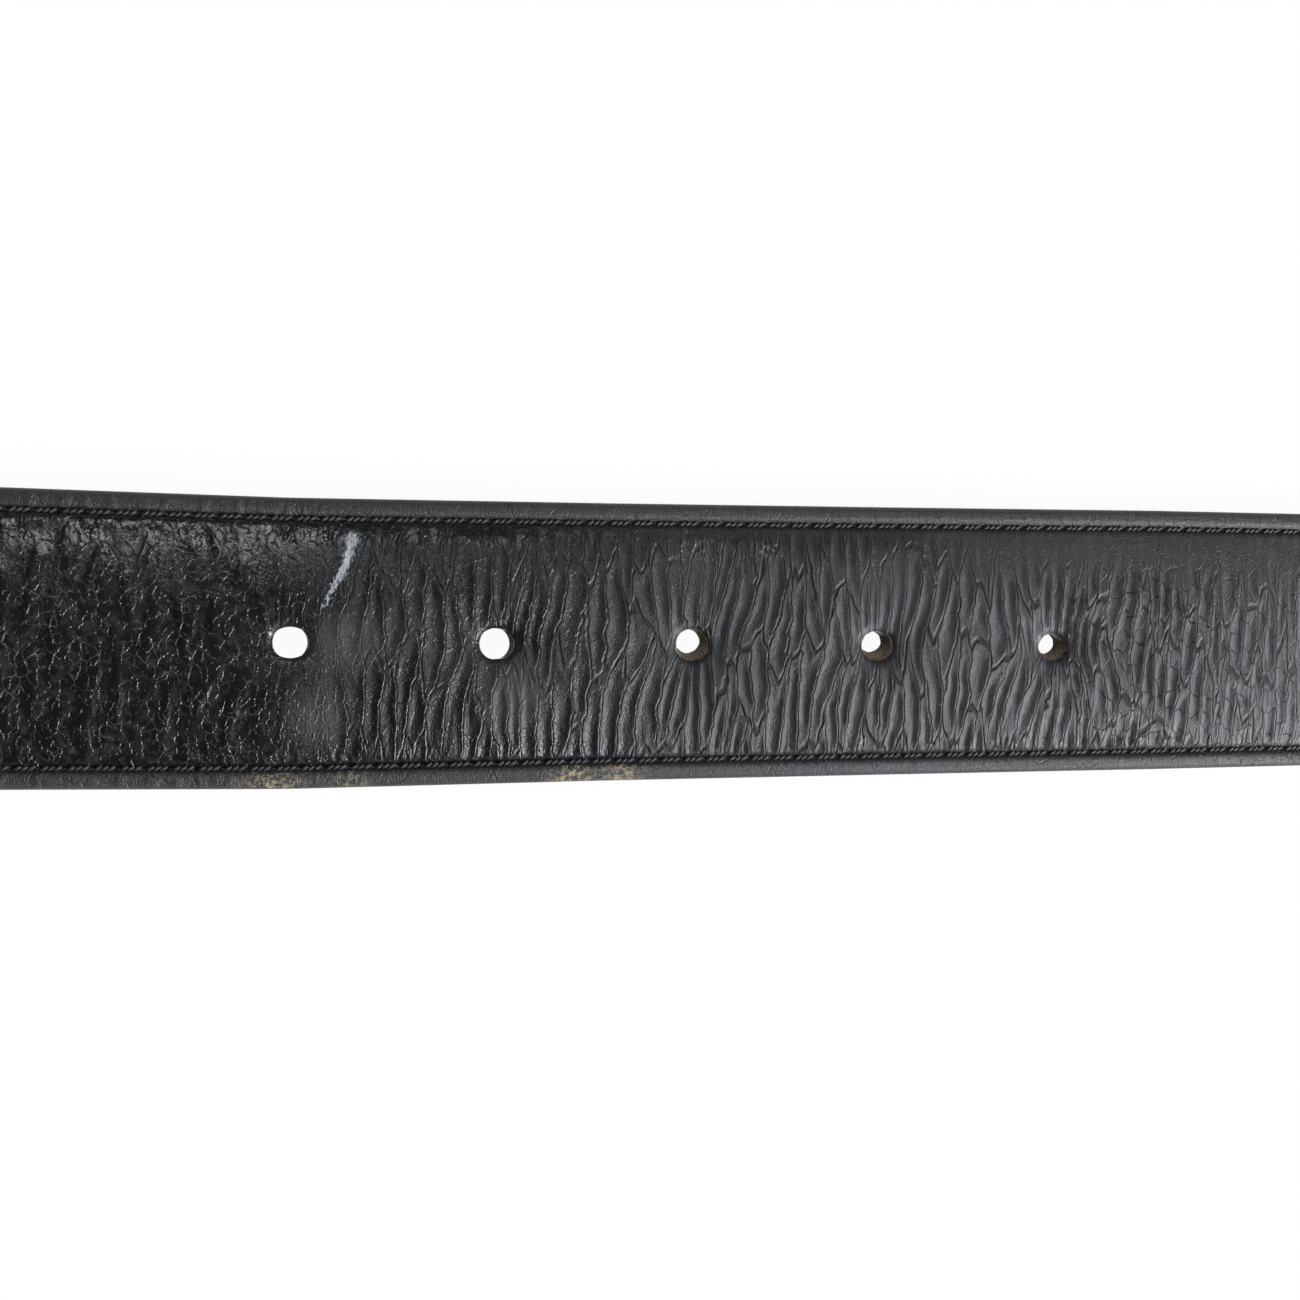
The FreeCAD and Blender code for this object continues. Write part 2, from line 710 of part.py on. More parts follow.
def build_prong():
    """The prong: an eye round the bar and a shank that comes down on the front rail."""
    body = new_body("prong")
    eye_top = "places.bar_height + places.eye_outer"
    eye = new_sketch(body, "prong_eye", "XZ_Plane")
    draw_circle(eye, "0", "places.bar_height", "places.eye_outer")
    pad(body, eye, "sizes.prong_eye_width", both_ways=True)
    shank = new_sketch(body, "prong_shank", "XZ_Plane")
    seat, thick = "places.prong_seat", "sizes.prong_thickness"
    end = "(sizes.frame_reach + sizes.prong_overhang)"
    end_top = "sizes.frame_thickness + sizes.prong_gap + sizes.prong_thickness"
    draw(
        shank,
        [
            ("-1", f"{eye_top} - 0.1", "60", 1),
            ("-places.rail_inner", f"{seat} + {thick}", "18", 1),
            (f"-{end}", f"{end_top} - 1"),
            (f"-({end} - 0.2)", "sizes.frame_thickness", "18", -1),
            ("-places.rail_inner", seat, "60", -1),
            ("-1", f"{eye_top} - {thick}"),
        ],
    )
    pad(body, shank, "sizes.prong_width", both_ways=True)
    way = new_sketch(body, "bar_way", "XZ_Plane", "-(sizes.prong_eye_width)")
    draw_circle(way, "0", "places.bar_height", "places.eye_inner")
    cut_up(body, way)
    half_shank = number("sizes.prong_width") / 2
    shank_middle = -number("places.rail_inner") / 2
    top = number("places.prong_seat")

    def along_the_top(edge):
        box = edge.BoundBox
        at_side = abs(abs(box.Center.y) - half_shank) < SAME and box.YLength < SAME
        return at_side and box.Center.z > top and box.Center.x < shank_middle + 2

    round_edges(body, "sizes.prong_edge_radius", along_the_top)
    return body


# ---------------------------------------------------------------- the binding screws


def build_posts():
    """The two binding posts: a flange under the face leather and a tapped barrel through the core."""
    body = new_body("binding_posts")
    flange = new_sketch(body, "post_flange", "XY_Plane", "places.ply_top")
    draw_circle(flange, "sizes.screw_start", "0", "sizes.screw_head_diameter / 2")
    barrel = new_sketch(body, "post_barrel", "XY_Plane", "sizes.screw_head_height")
    draw_circle(barrel, "sizes.screw_start", "0", "sizes.post_diameter / 2")
    parts = [
        pad(body, flange, "sizes.post_flange_height"),
        pad(body, barrel, "places.ply_top - sizes.screw_head_height"),
    ]
    tapped = new_sketch(body, "post_tapping", "XY_Plane", "sizes.screw_head_height")
    draw_circle(tapped, "sizes.screw_start", "0", "sizes.screw_shank_diameter / 2")
    parts.append(cut_up(body, tapped, "places.ply_top - sizes.screw_head_height"))
    repeat(body, parts, "sizes.screw_count", "sizes.screw_pitch")
    return body


def build_screws():
    """The two slotted screws that clamp the tab to the posts, their heads let into the tab."""
    body = new_body("binding_screws")
    head = new_sketch(body, "screw_head", "XY_Plane")
    draw_circle(head, "sizes.screw_start", "0", "sizes.screw_head_diameter / 2")
    shank = new_sketch(body, "screw_shank", "XY_Plane")
    draw_circle(shank, "sizes.screw_start", "0", "sizes.screw_shank_diameter / 2")
    slot = new_sketch(body, "driver_slot", "XY_Plane")
    half_width, half_length = "sizes.screw_slot_width / 2", "sizes.screw_head_diameter * 0.6"
    draw(
        slot,
        rectangle(
            f"sizes.screw_start - {half_width}",
            f"-{half_length}",
            f"sizes.screw_start + {half_width}",
            half_length,
        ),
    )
    parts = [
        pad(body, head, "sizes.screw_head_height"),
        pad(body, shank, "places.ply_top"),
        cut_up(body, slot, "sizes.screw_slot_depth"),
    ]
    repeat(body, parts, "sizes.screw_count", "sizes.screw_pitch")
    return body


def report_problems(pieces):
    """Stops the build if a feature failed or a piece isn't a valid solid."""
    for item in doc.Objects:
        if any(word in state for state in item.State for word in ("Invalid", "Error")):
            raise RuntimeError(f"{item.Name} failed: {item.State}")
    for piece in pieces:
        shape = piece.Shape
        if shape.isNull() or not shape.isValid() or not shape.Solids:
            raise RuntimeError(f"{piece.Label} has no valid solid")


fill_sheets()
pieces = [build_face_leather(), build_padding(), build_stiffener(), build_lining(), *build_threads()]
pieces += [build_keeper(), build_staple(), build_posts(), build_screws()]
pieces += [build_frame(), build_bar(), build_prong()]
doc.recompute()
report_problems(pieces)
os.makedirs("parts", exist_ok=True)
for piece in pieces:
    piece.Shape.exportStep(f"parts/{piece.Label}.step")
    print(piece.Label, len(piece.Shape.Solids), round(piece.Shape.Volume, 1), piece.Shape.BoundBox)
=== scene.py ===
# %% [markdown]
# # A padded leather dress belt
#
# The belt's CAD model is the fixed frame of this scene: it says where every piece is and how it moves.
# Here the plain CAD leather gets its real surface: rolls and cracks, a worn grain, punched holes with raw
# walls, and a row of real stitches. Metal pieces keep their CAD shape and only get a finish.
# Lengths in this file are in millimetres until a mesh is made, because leather is thought of in millimetres.

# %% Load the frame
import json
import math
import bmesh
import bpy
import numpy as np
from mathutils import Matrix, Vector


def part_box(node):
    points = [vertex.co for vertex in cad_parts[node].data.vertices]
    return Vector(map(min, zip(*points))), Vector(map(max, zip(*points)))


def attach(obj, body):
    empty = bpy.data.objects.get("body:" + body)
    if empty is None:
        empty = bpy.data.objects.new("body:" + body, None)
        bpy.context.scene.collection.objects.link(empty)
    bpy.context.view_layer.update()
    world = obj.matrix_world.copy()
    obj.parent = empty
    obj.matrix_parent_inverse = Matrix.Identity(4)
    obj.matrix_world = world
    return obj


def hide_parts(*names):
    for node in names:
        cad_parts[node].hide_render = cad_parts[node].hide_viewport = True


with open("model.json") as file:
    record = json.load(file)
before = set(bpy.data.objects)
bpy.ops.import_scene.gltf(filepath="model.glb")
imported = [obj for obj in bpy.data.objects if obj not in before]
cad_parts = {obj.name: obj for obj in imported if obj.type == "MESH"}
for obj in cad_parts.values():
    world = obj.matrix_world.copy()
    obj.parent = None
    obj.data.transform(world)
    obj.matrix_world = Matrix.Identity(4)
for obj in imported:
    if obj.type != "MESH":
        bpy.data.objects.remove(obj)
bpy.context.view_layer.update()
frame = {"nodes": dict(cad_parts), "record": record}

MM = 0.001

# %% [markdown]
# Positions come from the frame. The face leather gives the tip and the width, the stiffener gives the
# heights that the plies lie between, and the record's bores give the five prong holes.

# %% Read the belt's main places
def node_box(name):
    """A CAD node's corners in millimetres."""
    low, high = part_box(name)
    return np.array(low) / MM, np.array(high) / MM


_, face_high = node_box("face_leather")
stiffener_low, stiffener_high = node_box("stiffener")
padding_low, padding_high = node_box("padding")
bobbin_low, _ = node_box("bobbin_thread")
TIP_X = face_high[0]
HALF_WIDTH = face_high[1]
CORE_X = stiffener_low[0]              # where the filled part of the strap begins
PLY_BOTTOM, PLY_TOP = stiffener_low[2], stiffener_high[2]
TAPER_X = padding_high[0]              # where the tip starts to narrow
HOLES = [m for m in frame["record"]["mounts"] if m["kind"] == "bore"]
HOLE_X = [m["pos_m"][0] / MM for m in HOLES]
HOLE_RADIUS = HOLES[0]["dims"]["r_mm"]
print("tip at", round(TIP_X, 1), "holes at", [round(x, 1) for x in HOLE_X])

# %% [markdown]
# Shading and shape share one pattern here, so one helper has to build nodes in both a shader tree and a
# Geometry Nodes tree. Math, Noise and Voronoi nodes are the same in both. The helper takes sockets or plain
# numbers, and returns the new node's output socket. Two short functions make a node group with its sockets
# and an object that is in the scene.

# %% Small helpers for node trees and objects
class Graph:
    def __init__(self, tree):
        self.tree = tree

    def node(self, kind, values=None, **settings):
        made = self.tree.nodes.new(kind)
        for name, value in settings.items():
            setattr(made, name, value)
        self.fill(made, values or {})
        return made

    def fill(self, node, values):
        for key, value in values.items():
            self.feed(node.inputs[key], value)

    def feed(self, socket, value):
        if isinstance(value, bpy.types.NodeSocket):
            self.tree.links.new(value, socket)
        else:
            socket.default_value = value

    def math(self, operation, a, b=0.0, c=0.0):
        return self.node("ShaderNodeMath", {0: a, 1: b, 2: c}, operation=operation).outputs[0]

    def times(self, a, b):
        return self.math("MULTIPLY", a, b)

    def invert(self, share):
        """What is left of one."""
        return self.math("SUBTRACT", 1.0, share)

    def named(self, name):
        """A float attribute of the mesh, read by a shader."""
        return self.node("ShaderNodeAttribute", attribute_name=name).outputs["Fac"]

    def offset(self, place, along, across=0.0):
        """A place moved along and across the belt."""
        step = self.node("ShaderNodeCombineXYZ", {0: along, 1: across}).outputs[0]
        return self.vector("ADD", place, step)

    def vector(self, operation, a, b=(0.0, 0.0, 0.0)):
        return self.node("ShaderNodeVectorMath", {0: a, 1: b}, operation=operation).outputs[0]

    def noise(self, place, scale, detail=2.0, roughness=0.5, colour=False):
        values = {"Vector": place, "Scale": scale, "Detail": detail, "Roughness": roughness}
        made = self.node("ShaderNodeTexNoise", values, noise_dimensions="3D")
        return made.outputs["Color" if colour else 0]

    def shaken(self, place, scale, detail, reach):
        """A place pushed about by noise, as far as the reach along each axis."""
        shake = self.vector("SUBTRACT", self.noise(place, scale, detail=detail, colour=True), (0.5, 0.5, 0.5))
        return self.vector("ADD", place, self.vector("MULTIPLY", shake, reach))

    def cracks(self, place, cell, randomness=1.0):
        """Distance to the nearest edge of a net of cells, so long and so wide."""
        counted = self.vector("DIVIDE", place, (*cell, 1.0))
        values = {"Vector": counted, "Scale": 1.0, "Randomness": randomness}
        made = self.node("ShaderNodeTexVoronoi", values, feature="DISTANCE_TO_EDGE", voronoi_dimensions="2D")
        return made.outputs["Distance"]

    def ramp(self, value, low, high, start=0.0, end=1.0):
        values = {"Value": value, "From Min": low, "From Max": high, "To Min": start, "To Max": end}
        return self.node("ShaderNodeMapRange", values, interpolation_type="SMOOTHSTEP").outputs[0]

    def mix(self, share, first, second):
        """Mixes two colours."""
        return self.node("ShaderNodeMix", {0: share, 6: first, 7: second}, data_type="RGBA").outputs[2]


def new_tree(name, kind, inputs, outputs):
    """An empty node group with its sockets: the group, its graph, what it is given and what it returns."""
    tree = bpy.data.node_groups.new(name, kind)
    for way, sockets in (("INPUT", inputs), ("OUTPUT", outputs)):
        for title, holds in sockets.items():
            tree.interface.new_socket(title, in_out=way, socket_type="NodeSocket" + holds)
    g = Graph(tree)
    return tree, g, g.node("NodeGroupInput").outputs, g.node("NodeGroupOutput").inputs


def new_object(name, data):
    made = bpy.data.objects.new(name, data)
    bpy.context.scene.collection.objects.link(made)
    return made


# %% [markdown]
# ## The crease pattern
#
# Grain leather that has been bent for years gathers in rolls across the strap, with a crack between each two;
# the material paints shade into the cracks. A Voronoi net of long narrow cells makes just that: the distance
# to a cell's edge is low in the crack and high on the roll. Noise bends the net, and a second, shorter net
# adds the small wrinkles.
# The strap's mesh and the leather's material both call this function, so the fine cracks that only the
# material can draw lie in the valleys that the mesh really has.

# %% Define the crease pattern
ROLL_SIZE = (2.10, 12.0)      # a roll's width along the strap and its length across it
WRINKLE_SIZE = (1.35, 2.9)
DRIFT, SHAKE = 2.6, 1.2       # how far slow and quick noise push the rolls along the strap
TILT, JOSTLE = 22.0, 2.0      # how far noise pushes the rolls, and the wrinkles, across it


def crease_pattern(g, place):
    """From a place in millimetres: how high the leather stands (0 to 1), and the two nets."""
    drift = g.math("SUBTRACT", g.noise(place, 0.055, detail=1.0), 0.5)
    shake = g.math("SUBTRACT", g.noise(place, 0.42, detail=2.0), 0.5)
    tilt = g.math("SUBTRACT", g.noise(g.vector("MULTIPLY", place, (0.30, 0.045, 1.0)), 1.0, detail=1.0), 0.5)
    along = g.math("MULTIPLY_ADD", drift, DRIFT, g.times(shake, SHAKE))
    bent = g.offset(place, along, g.times(tilt, TILT))
    rolls = g.cracks(bent, ROLL_SIZE, randomness=0.7)
    jostled = g.offset(place, along, g.times(shake, JOSTLE))
    wrinkles = g.cracks(jostled, WRINKLE_SIZE)
    wrinkled = g.ramp(g.noise(place, 0.09, detail=1.0), 0.45, 0.65)
    roll_height = g.ramp(rolls, 0.0, 0.36)
    wrinkle_height = g.times(g.ramp(wrinkles, 0.0, 0.3), g.math("MULTIPLY_ADD", wrinkled, 0.10, 0.02))
    height = g.math("MULTIPLY_ADD", roll_height, 0.80, wrinkle_height)
    return height, rolls, wrinkles


# %% [markdown]
# Next to the seam each stitch gathers the leather into a short pucker. A net of very long, narrow cells
# gives those, because only its sides across the strap are ever seen.

# %% Define the puckers
PUCKER_SIZE = (1.35, 24.0)


def pucker_pattern(g, place):
    bent = g.shaken(place, 0.7, 2.0, (0.9, 0.0, 0.0))
    return g.ramp(g.cracks(bent, PUCKER_SIZE, randomness=0.7), 0.0, 0.42)


# %% [markdown]
# ## The strap's outline
#
# The strap is straight until the tip, where two long arcs run into a small round nose. Every point of the
# surface is found from the outline: so far along it, and so far in from it. That way the rolled edge and
# the seam follow the tip as well as they follow the straight.

# %% Work out the outline and its normals
NOSE_HALF, NOSE_LENGTH = 4.0, 1.6      # the nose's half width, and how far it stands out
FINE_STEP, COARSE_STEP = 0.30, 2.9     # spacing along the strap, on the worn stretch and elsewhere
WORN = (HOLE_X[0] - 40, HOLE_X[-1] + 44)


def smooth_step(value, low, high):
    t = np.clip((value - low) / (high - low), 0, 1)
    return t * t * (3 - 2 * t)


def arc_points(start, end, radius, count):
    """Points of the arc from start to end that turns right, without its first point, with outward normals."""
    start, end = np.array(start), np.array(end)
    chord = end - start
    size = np.linalg.norm(chord)
    right = np.array([chord[1], -chord[0]]) / size
    centre = (start + end) / 2 + right * math.sqrt(radius**2 - size**2 / 4)
    a0 = math.atan2(*(start - centre)[::-1])
    a1 = math.atan2(*(end - centre)[::-1])
    angles = np.linspace(a0, a1, count + 1)[1:]
    normals = np.stack([np.cos(angles), np.sin(angles)], axis=1)
    return centre + radius * normals, normals


def sway(x):
    """How far the worn strap has drifted sideways at a place along it."""
    bend = np.interp(x, [300, 337, 378, 415, 455, 490], [0.3, 0.0, 0.25, 0.5, 0.8, 0.95])
    return bend * smooth_step(x, WORN[0] - 60, WORN[0]) * (1 - smooth_step(x, WORN[1], TAPER_X))


def spread(x, side):
    """How far each edge of the worn strap has spread outwards, a little more on the upper side."""
    upper = np.interp(x, [300, 337, 378, 415, 455, 490], [0.5, 0.38, 0.45, 0.6, 0.8, 0.8])
    lower = np.interp(x, [300, 337, 378, 415, 455, 490], [0.5, 0.6, 0.3, 0.25, 0.25, 0.0])
    most = upper if side > 0 else lower
    return most * smooth_step(x, WORN[0] - 80, WORN[0]) * (1 - smooth_step(x, WORN[1], TAPER_X))


def outline():
    """Points of the +Y half from the core's start to the nose, with normals and centreline places."""
    xs = np.concatenate([
        np.arange(CORE_X, WORN[0], COARSE_STEP),
        np.arange(WORN[0], WORN[1], FINE_STEP),
        np.arange(WORN[1], TAPER_X, 1.0),
        [TAPER_X],
    ])
    points = np.stack([xs, np.full_like(xs, HALF_WIDTH)], axis=1)
    normals = np.tile([0.0, 1.0], (len(xs), 1))
    run, side = TIP_X - TAPER_X - NOSE_LENGTH, HALF_WIDTH - NOSE_HALF
    flank = (run**2 + side**2) / (2 * side)
    nose = (NOSE_HALF**2 + NOSE_LENGTH**2) / (2 * NOSE_LENGTH)
    shoulder = (TIP_X - NOSE_LENGTH, NOSE_HALF)
    p1, n1 = arc_points((TAPER_X, HALF_WIDTH), shoulder, flank, 26)
    p2, n2 = arc_points(shoulder, (TIP_X, 0), nose, 9)
    centre_x = np.concatenate([xs, np.linspace(TAPER_X, TIP_X - BLEND_INSET, len(p1) + len(p2) + 1)[1:]])
    return np.concatenate([points, p1, p2]), np.concatenate([normals, n1, n2]), centre_x


def worn_edge(side):
    """The outline on one side with its spread and sway, and its normals."""
    point = edge_points * (1, side)
    point[:, 1] += side * spread(point[:, 0], side) + sway(point[:, 0])
    return point, edge_normals * (1, side)


BLEND_INSET = 4.0                      # within this of the edge, the surface follows the outline exactly
edge_points, edge_normals, centre_x = outline()
print("columns along the strap:", len(edge_points))

# %% [markdown]
# ## The strap's cross-section
#
# The face leather turns round each edge in a smooth bead, dips at the seam where the thread pulls it down,
# and swells over the padding between the seams. The rows run from the underside of one edge, over the top,
# to the underside of the other. The padding fades before the buckle and before the tip.

# %% Describe the cross-section
EDGE_RADIUS = (padding_low[2] + 0.8 - PLY_BOTTOM) / 2
SEAM_INSET = 2.6
BEAD = np.radians([-90, -60, -30, 0, 22, 42, 62, 78, 90])
BAND_INSETS = np.array([1.3, 1.6, 1.9, 2.1, 2.3, 2.45, 2.6, 2.75, 2.9, 3.1, 3.35, 3.65, 4.0])
DOME = np.linspace(0, 1, 30)[1:]
FLAT_RISE, FULL_RISE = 0.42, 1.42


def padding_share(x):
    """How much of the padding's height there is at a place along the strap."""
    return smooth_step(x, CORE_X, CORE_X + 9) * (1 - smooth_step(x, TAPER_X - 17, TAPER_X))


def face_height(inset, x):
    """Height of the leather's top at an inset from the edge, past the bead."""
    top = PLY_BOTTOM + 2 * EDGE_RADIUS
    across = np.clip((inset - SEAM_INSET) / (HALF_WIDTH - SEAM_INSET), 0, 1)
    rise = FLAT_RISE + (FULL_RISE - FLAT_RISE) * padding_share(x)
    band = 0.06 * np.sin(np.pi * np.clip((inset - 1) / 1.2, 0, 1))
    groove = 0.38 * np.exp(-(((inset - SEAM_INSET) / 0.48) ** 2))
    return top - 0.1 * smooth_step(inset, 1.6, 2.4) + band - groove + rise * (1 - (1 - across) ** 2.7)


print("rows across the strap:", 2 * (len(BEAD) + len(BAND_INSETS) + len(DOME)) - 1)

# %% [markdown]
# ## The face leather's grid
#
# The whole strap is one grid of quads: columns along the outline, rows across it. It is dense only along
# the worn stretch round the prong holes. Where a hole comes, the quads inside it are taken out, the
# vertices at the gap are slid onto the hole's worn, slightly long shape, and a wall is drawn down from them.
# A flat underside closes the shape, so it is a solid piece that fills the face leather's place.

# %% Place the grid's vertices
def strap_grid():
    """x, y and z of every vertex as (column, row) arrays, with each vertex's inset from the edge."""
    sides = []
    for side in (1, -1):
        point, normal = worn_edge(side)
        centre = np.stack([centre_x, sway(centre_x)], axis=1)
        inner = point - BLEND_INSET * normal
        columns, insets = [], []
        for angle in BEAD:
            inset = EDGE_RADIUS * (1 - math.cos(angle))
            flat = point - inset * normal
            z = PLY_BOTTOM + EDGE_RADIUS * (1 + math.sin(angle))
            columns.append(np.column_stack([flat, np.full(len(flat), z)]))
            insets.append(np.full(len(flat), inset))
        for inset in BAND_INSETS:
            flat = point - inset * normal
            columns.append(np.column_stack([flat, face_height(np.full(len(flat), inset), flat[:, 0])]))
            insets.append(np.full(len(flat), inset))
        for share in DOME:
            flat = inner + (centre - inner) * share
            reach = np.linalg.norm(centre - inner, axis=1)
            inset = BLEND_INSET + share * reach
            columns.append(np.column_stack([flat, face_height(inset, flat[:, 0])]))
            insets.append(inset)
        sides.append((np.array(columns), np.array(insets)))
    upper, lower = sides
    vertices = np.concatenate([upper[0], lower[0][-2::-1]])
    insets = np.concatenate([upper[1], lower[1][-2::-1]])
    return vertices.transpose(1, 0, 2), insets.T


grid, grid_inset = strap_grid()
COLUMNS, ROWS = grid.shape[:2]
print("grid:", COLUMNS, "x", ROWS)

# %% [markdown]
# ## Where the leather is worn
#
# Wear isn't even. The first holes' end of the stretch is polished and finely crackled, the other end is
# matter and greyer. The prong has pressed a smooth place beside each hole and pulled the rolls towards it.
# All of this is worked out here per vertex and stored on the mesh as attributes, which the material reads.

# %% Work out the wear
HOLE_PULLS = (0.3, 0.35, 0.5, 0.55, 0.6)     # how strongly each hole gathers the rolls
CALM_SIZES = (3.2, 3.0, 2.8, 2.8, 2.6)       # the smooth place round each hole
LEAN = 0.06                                  # how much the rolls lean
WIDER, NARROWER = 0.38, 0.14                 # rolls are wider on the polished end, narrower towards the tip
HOLE_SHAPES = [(2.42, 1.93), (2.42, 2.0), (2.42, 2.1), (2.4, 2.02), (2.2, 1.92)]   # half length, half width


def blob(x, y, centre_x, centre_y, size_x, size_y):
    return np.exp(-(((x - centre_x) / size_x) ** 2) - ((y - centre_y) / size_y) ** 2)


def crease_place(x, y):
    """Where to read the crease pattern: the plain place, with the rolls gathered towards each hole."""
    along = x - LEAN * y
    along += WIDER * np.clip(HOLE_X[0] - 2 - x, 0, None) + NARROWER * np.clip(x - HOLE_X[2], 0, None)
    for hole, pull in zip(HOLE_X, HOLE_PULLS):
        away = x - hole
        along += pull * away * np.exp(-((y / 5.5) ** 2)) * np.exp(-((away / 8.0) ** 2))
    return np.stack([along, y, np.zeros_like(x)], axis=-1)


def past_fold(x):
    """Nothing is raised where the strap starts, so that its first column stays flat and can be closed."""
    return smooth_step(x, CORE_X + 1, CORE_X + 14)


def polished(x):
    return 1 - smooth_step(x, HOLE_X[0] - 10, HOLE_X[0] + 14)


def wear_masks(x, y, inset):
    """Polish, crease strength, dust, and scuff with painted sheen, each from 0 to 1."""
    first, second, third, fourth, last = HOLE_X
    polish = polished(x)
    strength = 0.8 + 0.2 * smooth_step(x, first, third)
    strength = strength * (1 - 0.35 * smooth_step(x, last + 12, last + 40))
    for hole, size in zip(HOLE_X, CALM_SIZES):
        strength = strength * (1 - 0.7 * blob(x, y, hole - 0.4, 0.6, size, size))
    for hole in (third, fourth):
        strength = strength * (1 - 0.85 * blob(x, y, hole + 0.4, 9.0, 4.2, 3.6))
    top_side, low_side = smooth_step(inset, 3.2, 5.2), smooth_step(inset, 2.7, 3.5)
    strength = strength * np.where(y > 0, top_side, low_side) * past_fold(x)
    plain_top = smooth_step(x, last - 26, last - 8) * smooth_step(y, 7.5, 12.8)
    strength = strength * (1 - 0.85 * plain_top)
    dust = 0.65 * blob(x, y, first + 3, -9.5, 5.0, 5.0) + 0.75 * blob(x, y, second + 2.5, -7, 4.5, 5.5)
    dust = dust + 0.7 * blob(x, y, first + 6, 0.0, 5.0, 4.5) + 0.35 * blob(x, y, second - 8, 2, 7, 8)
    curve = first + 7.6 - 4.6 * (np.clip(13.8 - y, 0, None) / 10.5) ** 1.6
    scuff_and_sheen = np.exp(-(((x - curve) / (0.3 + 0.05 * np.clip(y - 2, 0, 12))) ** 2)) * smooth_step(y, -0.5, 8.0)
    scuff_and_sheen = scuff_and_sheen * (1 - smooth_step(y, 13.2, 14.4))
    # painted sheen: two pale patches under the upper edge near the third hole
    scuff_and_sheen = scuff_and_sheen + 0.35 * blob(x, y, third + 9.6, 12.2, 2.2, 1.5)
    scuff_and_sheen = scuff_and_sheen + 0.3 * blob(x, y, third + 0.5, 12.2, 4.0, 2.0)
    return np.stack([polish, np.clip(strength, 0, 1), np.clip(dust, 0, 1), np.clip(scuff_and_sheen, 0, 1)], axis=-1)


def pucker(x, y, inset):
    """Where the seam gathers the leather into short puckers."""
    ends = smooth_step(x, HOLE_X[-1] - 26, HOLE_X[-1] - 8) * (y > 0)
    near_seam = smooth_step(inset, 2.75, 3.3) * (1 - smooth_step(inset, 4.2, 6.6))
    return (1 - 0.8 * ends) * past_fold(x) * near_seam


def crackle(x, y, inset):
    """Where the finish has crackled: the polished end, and the puckers under the upper seam."""
    polish = polished(x)
    upper = pucker(x, y, inset) * (y > 0) * (1 - smooth_step(x, HOLE_X[2], HOLE_X[3]))
    middle = 0.55 * (1 - polish) * (1 - smooth_step(x, HOLE_X[1], HOLE_X[2] + 6))
    return np.clip(0.05 + 0.9 * polish + 0.35 * upper + middle, 0, 1) * smooth_step(inset, 2.0, 2.8)


def grey_wear_upper_shade(x, y):
    """How far the black finish has worn grey, more towards the last hole; along the upper side there it is
    kept darker as painted shade.
    """
    first, second, third, fourth, last = HOLE_X
    places = [first - 12, first + 8, second, third, fourth, last, last + 30]
    along = np.interp(x, places, [0.0, 0.02, 0.12, 0.42, 0.74, 0.97, 1.05])
    # painted shade: the upper side towards the last hole is kept darker
    upper = smooth_step(x, third, fourth) * smooth_step(y, 8.0, 13.0)
    return along * (1 - 0.55 * upper)


def cracked(x):
    """How open the cracks between the rolls are: not on the polished end, fully from the third hole on."""
    return smooth_step(x, HOLE_X[0] - 4, HOLE_X[0] + 14) * (0.4 + 0.6 * smooth_step(x, HOLE_X[1], HOLE_X[2]))


def edge_wear(x, y):
    """Where the edge is rubbed through to the raw leather."""
    first, third = HOLE_X[0], HOLE_X[2]
    low_edge = (y < 0).astype(float)
    spots = blob(x, 0, third - 15.5, 0, 2.6, 1) + 0.9 * blob(x, 0, third - 9.0, 0, 2.4, 1)
    spots = spots + 0.7 * blob(x, 0, first - 2.0, 0, 3.4, 1) + 0.5 * blob(x, 0, first + 7.5, 0, 2.0, 1)
    return np.clip(spots, 0, 1) * low_edge


# %% [markdown]
# The mesh is built with arrays. `from_pydata` would do it in one call; `foreach_set` writes the attributes
# without a slow loop in Python.

# %% Build the strap's mesh
def around_hole(x, y, index):
    """How far a place is from a hole's centre, in units of the hole's own shape."""
    half_x, half_y = HOLE_SHAPES[index]
    return np.hypot((x - HOLE_X[index]) / half_x, y / half_y)


def slide_to_holes():
    """Takes out the quads inside each hole, and slides the vertices round the gap onto the hole's edge."""
    inside = np.zeros((COLUMNS, ROWS), bool)
    for index in range(len(HOLE_X)):
        inside |= around_hole(grid[..., 0], grid[..., 1], index) < 1.0
    keep = ~(inside[:-1, :-1] | inside[1:, :-1] | inside[:-1, 1:] | inside[1:, 1:])
    used = np.zeros_like(inside)
    lost = np.zeros_like(inside)
    for dc in (0, 1):
        for dr in (0, 1):
            used[dc:COLUMNS - 1 + dc, dr:ROWS - 1 + dr] |= keep
            lost[dc:COLUMNS - 1 + dc, dr:ROWS - 1 + dr] |= ~keep
    rim = used & lost
    for index, hole in enumerate(HOLE_X):
        near = rim & (np.abs(grid[..., 0] - hole) < 5)
        ratio = around_hole(grid[..., 0], grid[..., 1], index)
        for axis, origin in ((0, hole), (1, 0.0)):
            grid[..., axis][near] = origin + (grid[..., axis][near] - origin) / ratio[near]
    return keep, used


quads_kept, vertices_used = slide_to_holes()
number_of = np.full((COLUMNS, ROWS), -1)
number_of[vertices_used] = np.arange(vertices_used.sum())
corner = [number_of[:-1, :-1], number_of[1:, :-1], number_of[1:, 1:], number_of[:-1, 1:]]
quads = np.stack([c[quads_kept] for c in corner], axis=1)
for index in range(len(HOLE_X)):
    distance = (around_hole(grid[..., 0], grid[..., 1], index) - 1) * 2.1
    grid[..., 2] -= 0.22 * np.exp(-np.clip(distance, 0, None) / 0.35)       # the punched edge is rounded over
    grid[..., 2] -= 0.30 * np.exp(-((np.clip(distance, 0, None) / 3.0) ** 2))  # the leather dips round it
used_xyz = grid[vertices_used]
used_inset = grid_inset[vertices_used]
print("quads on top:", len(quads))

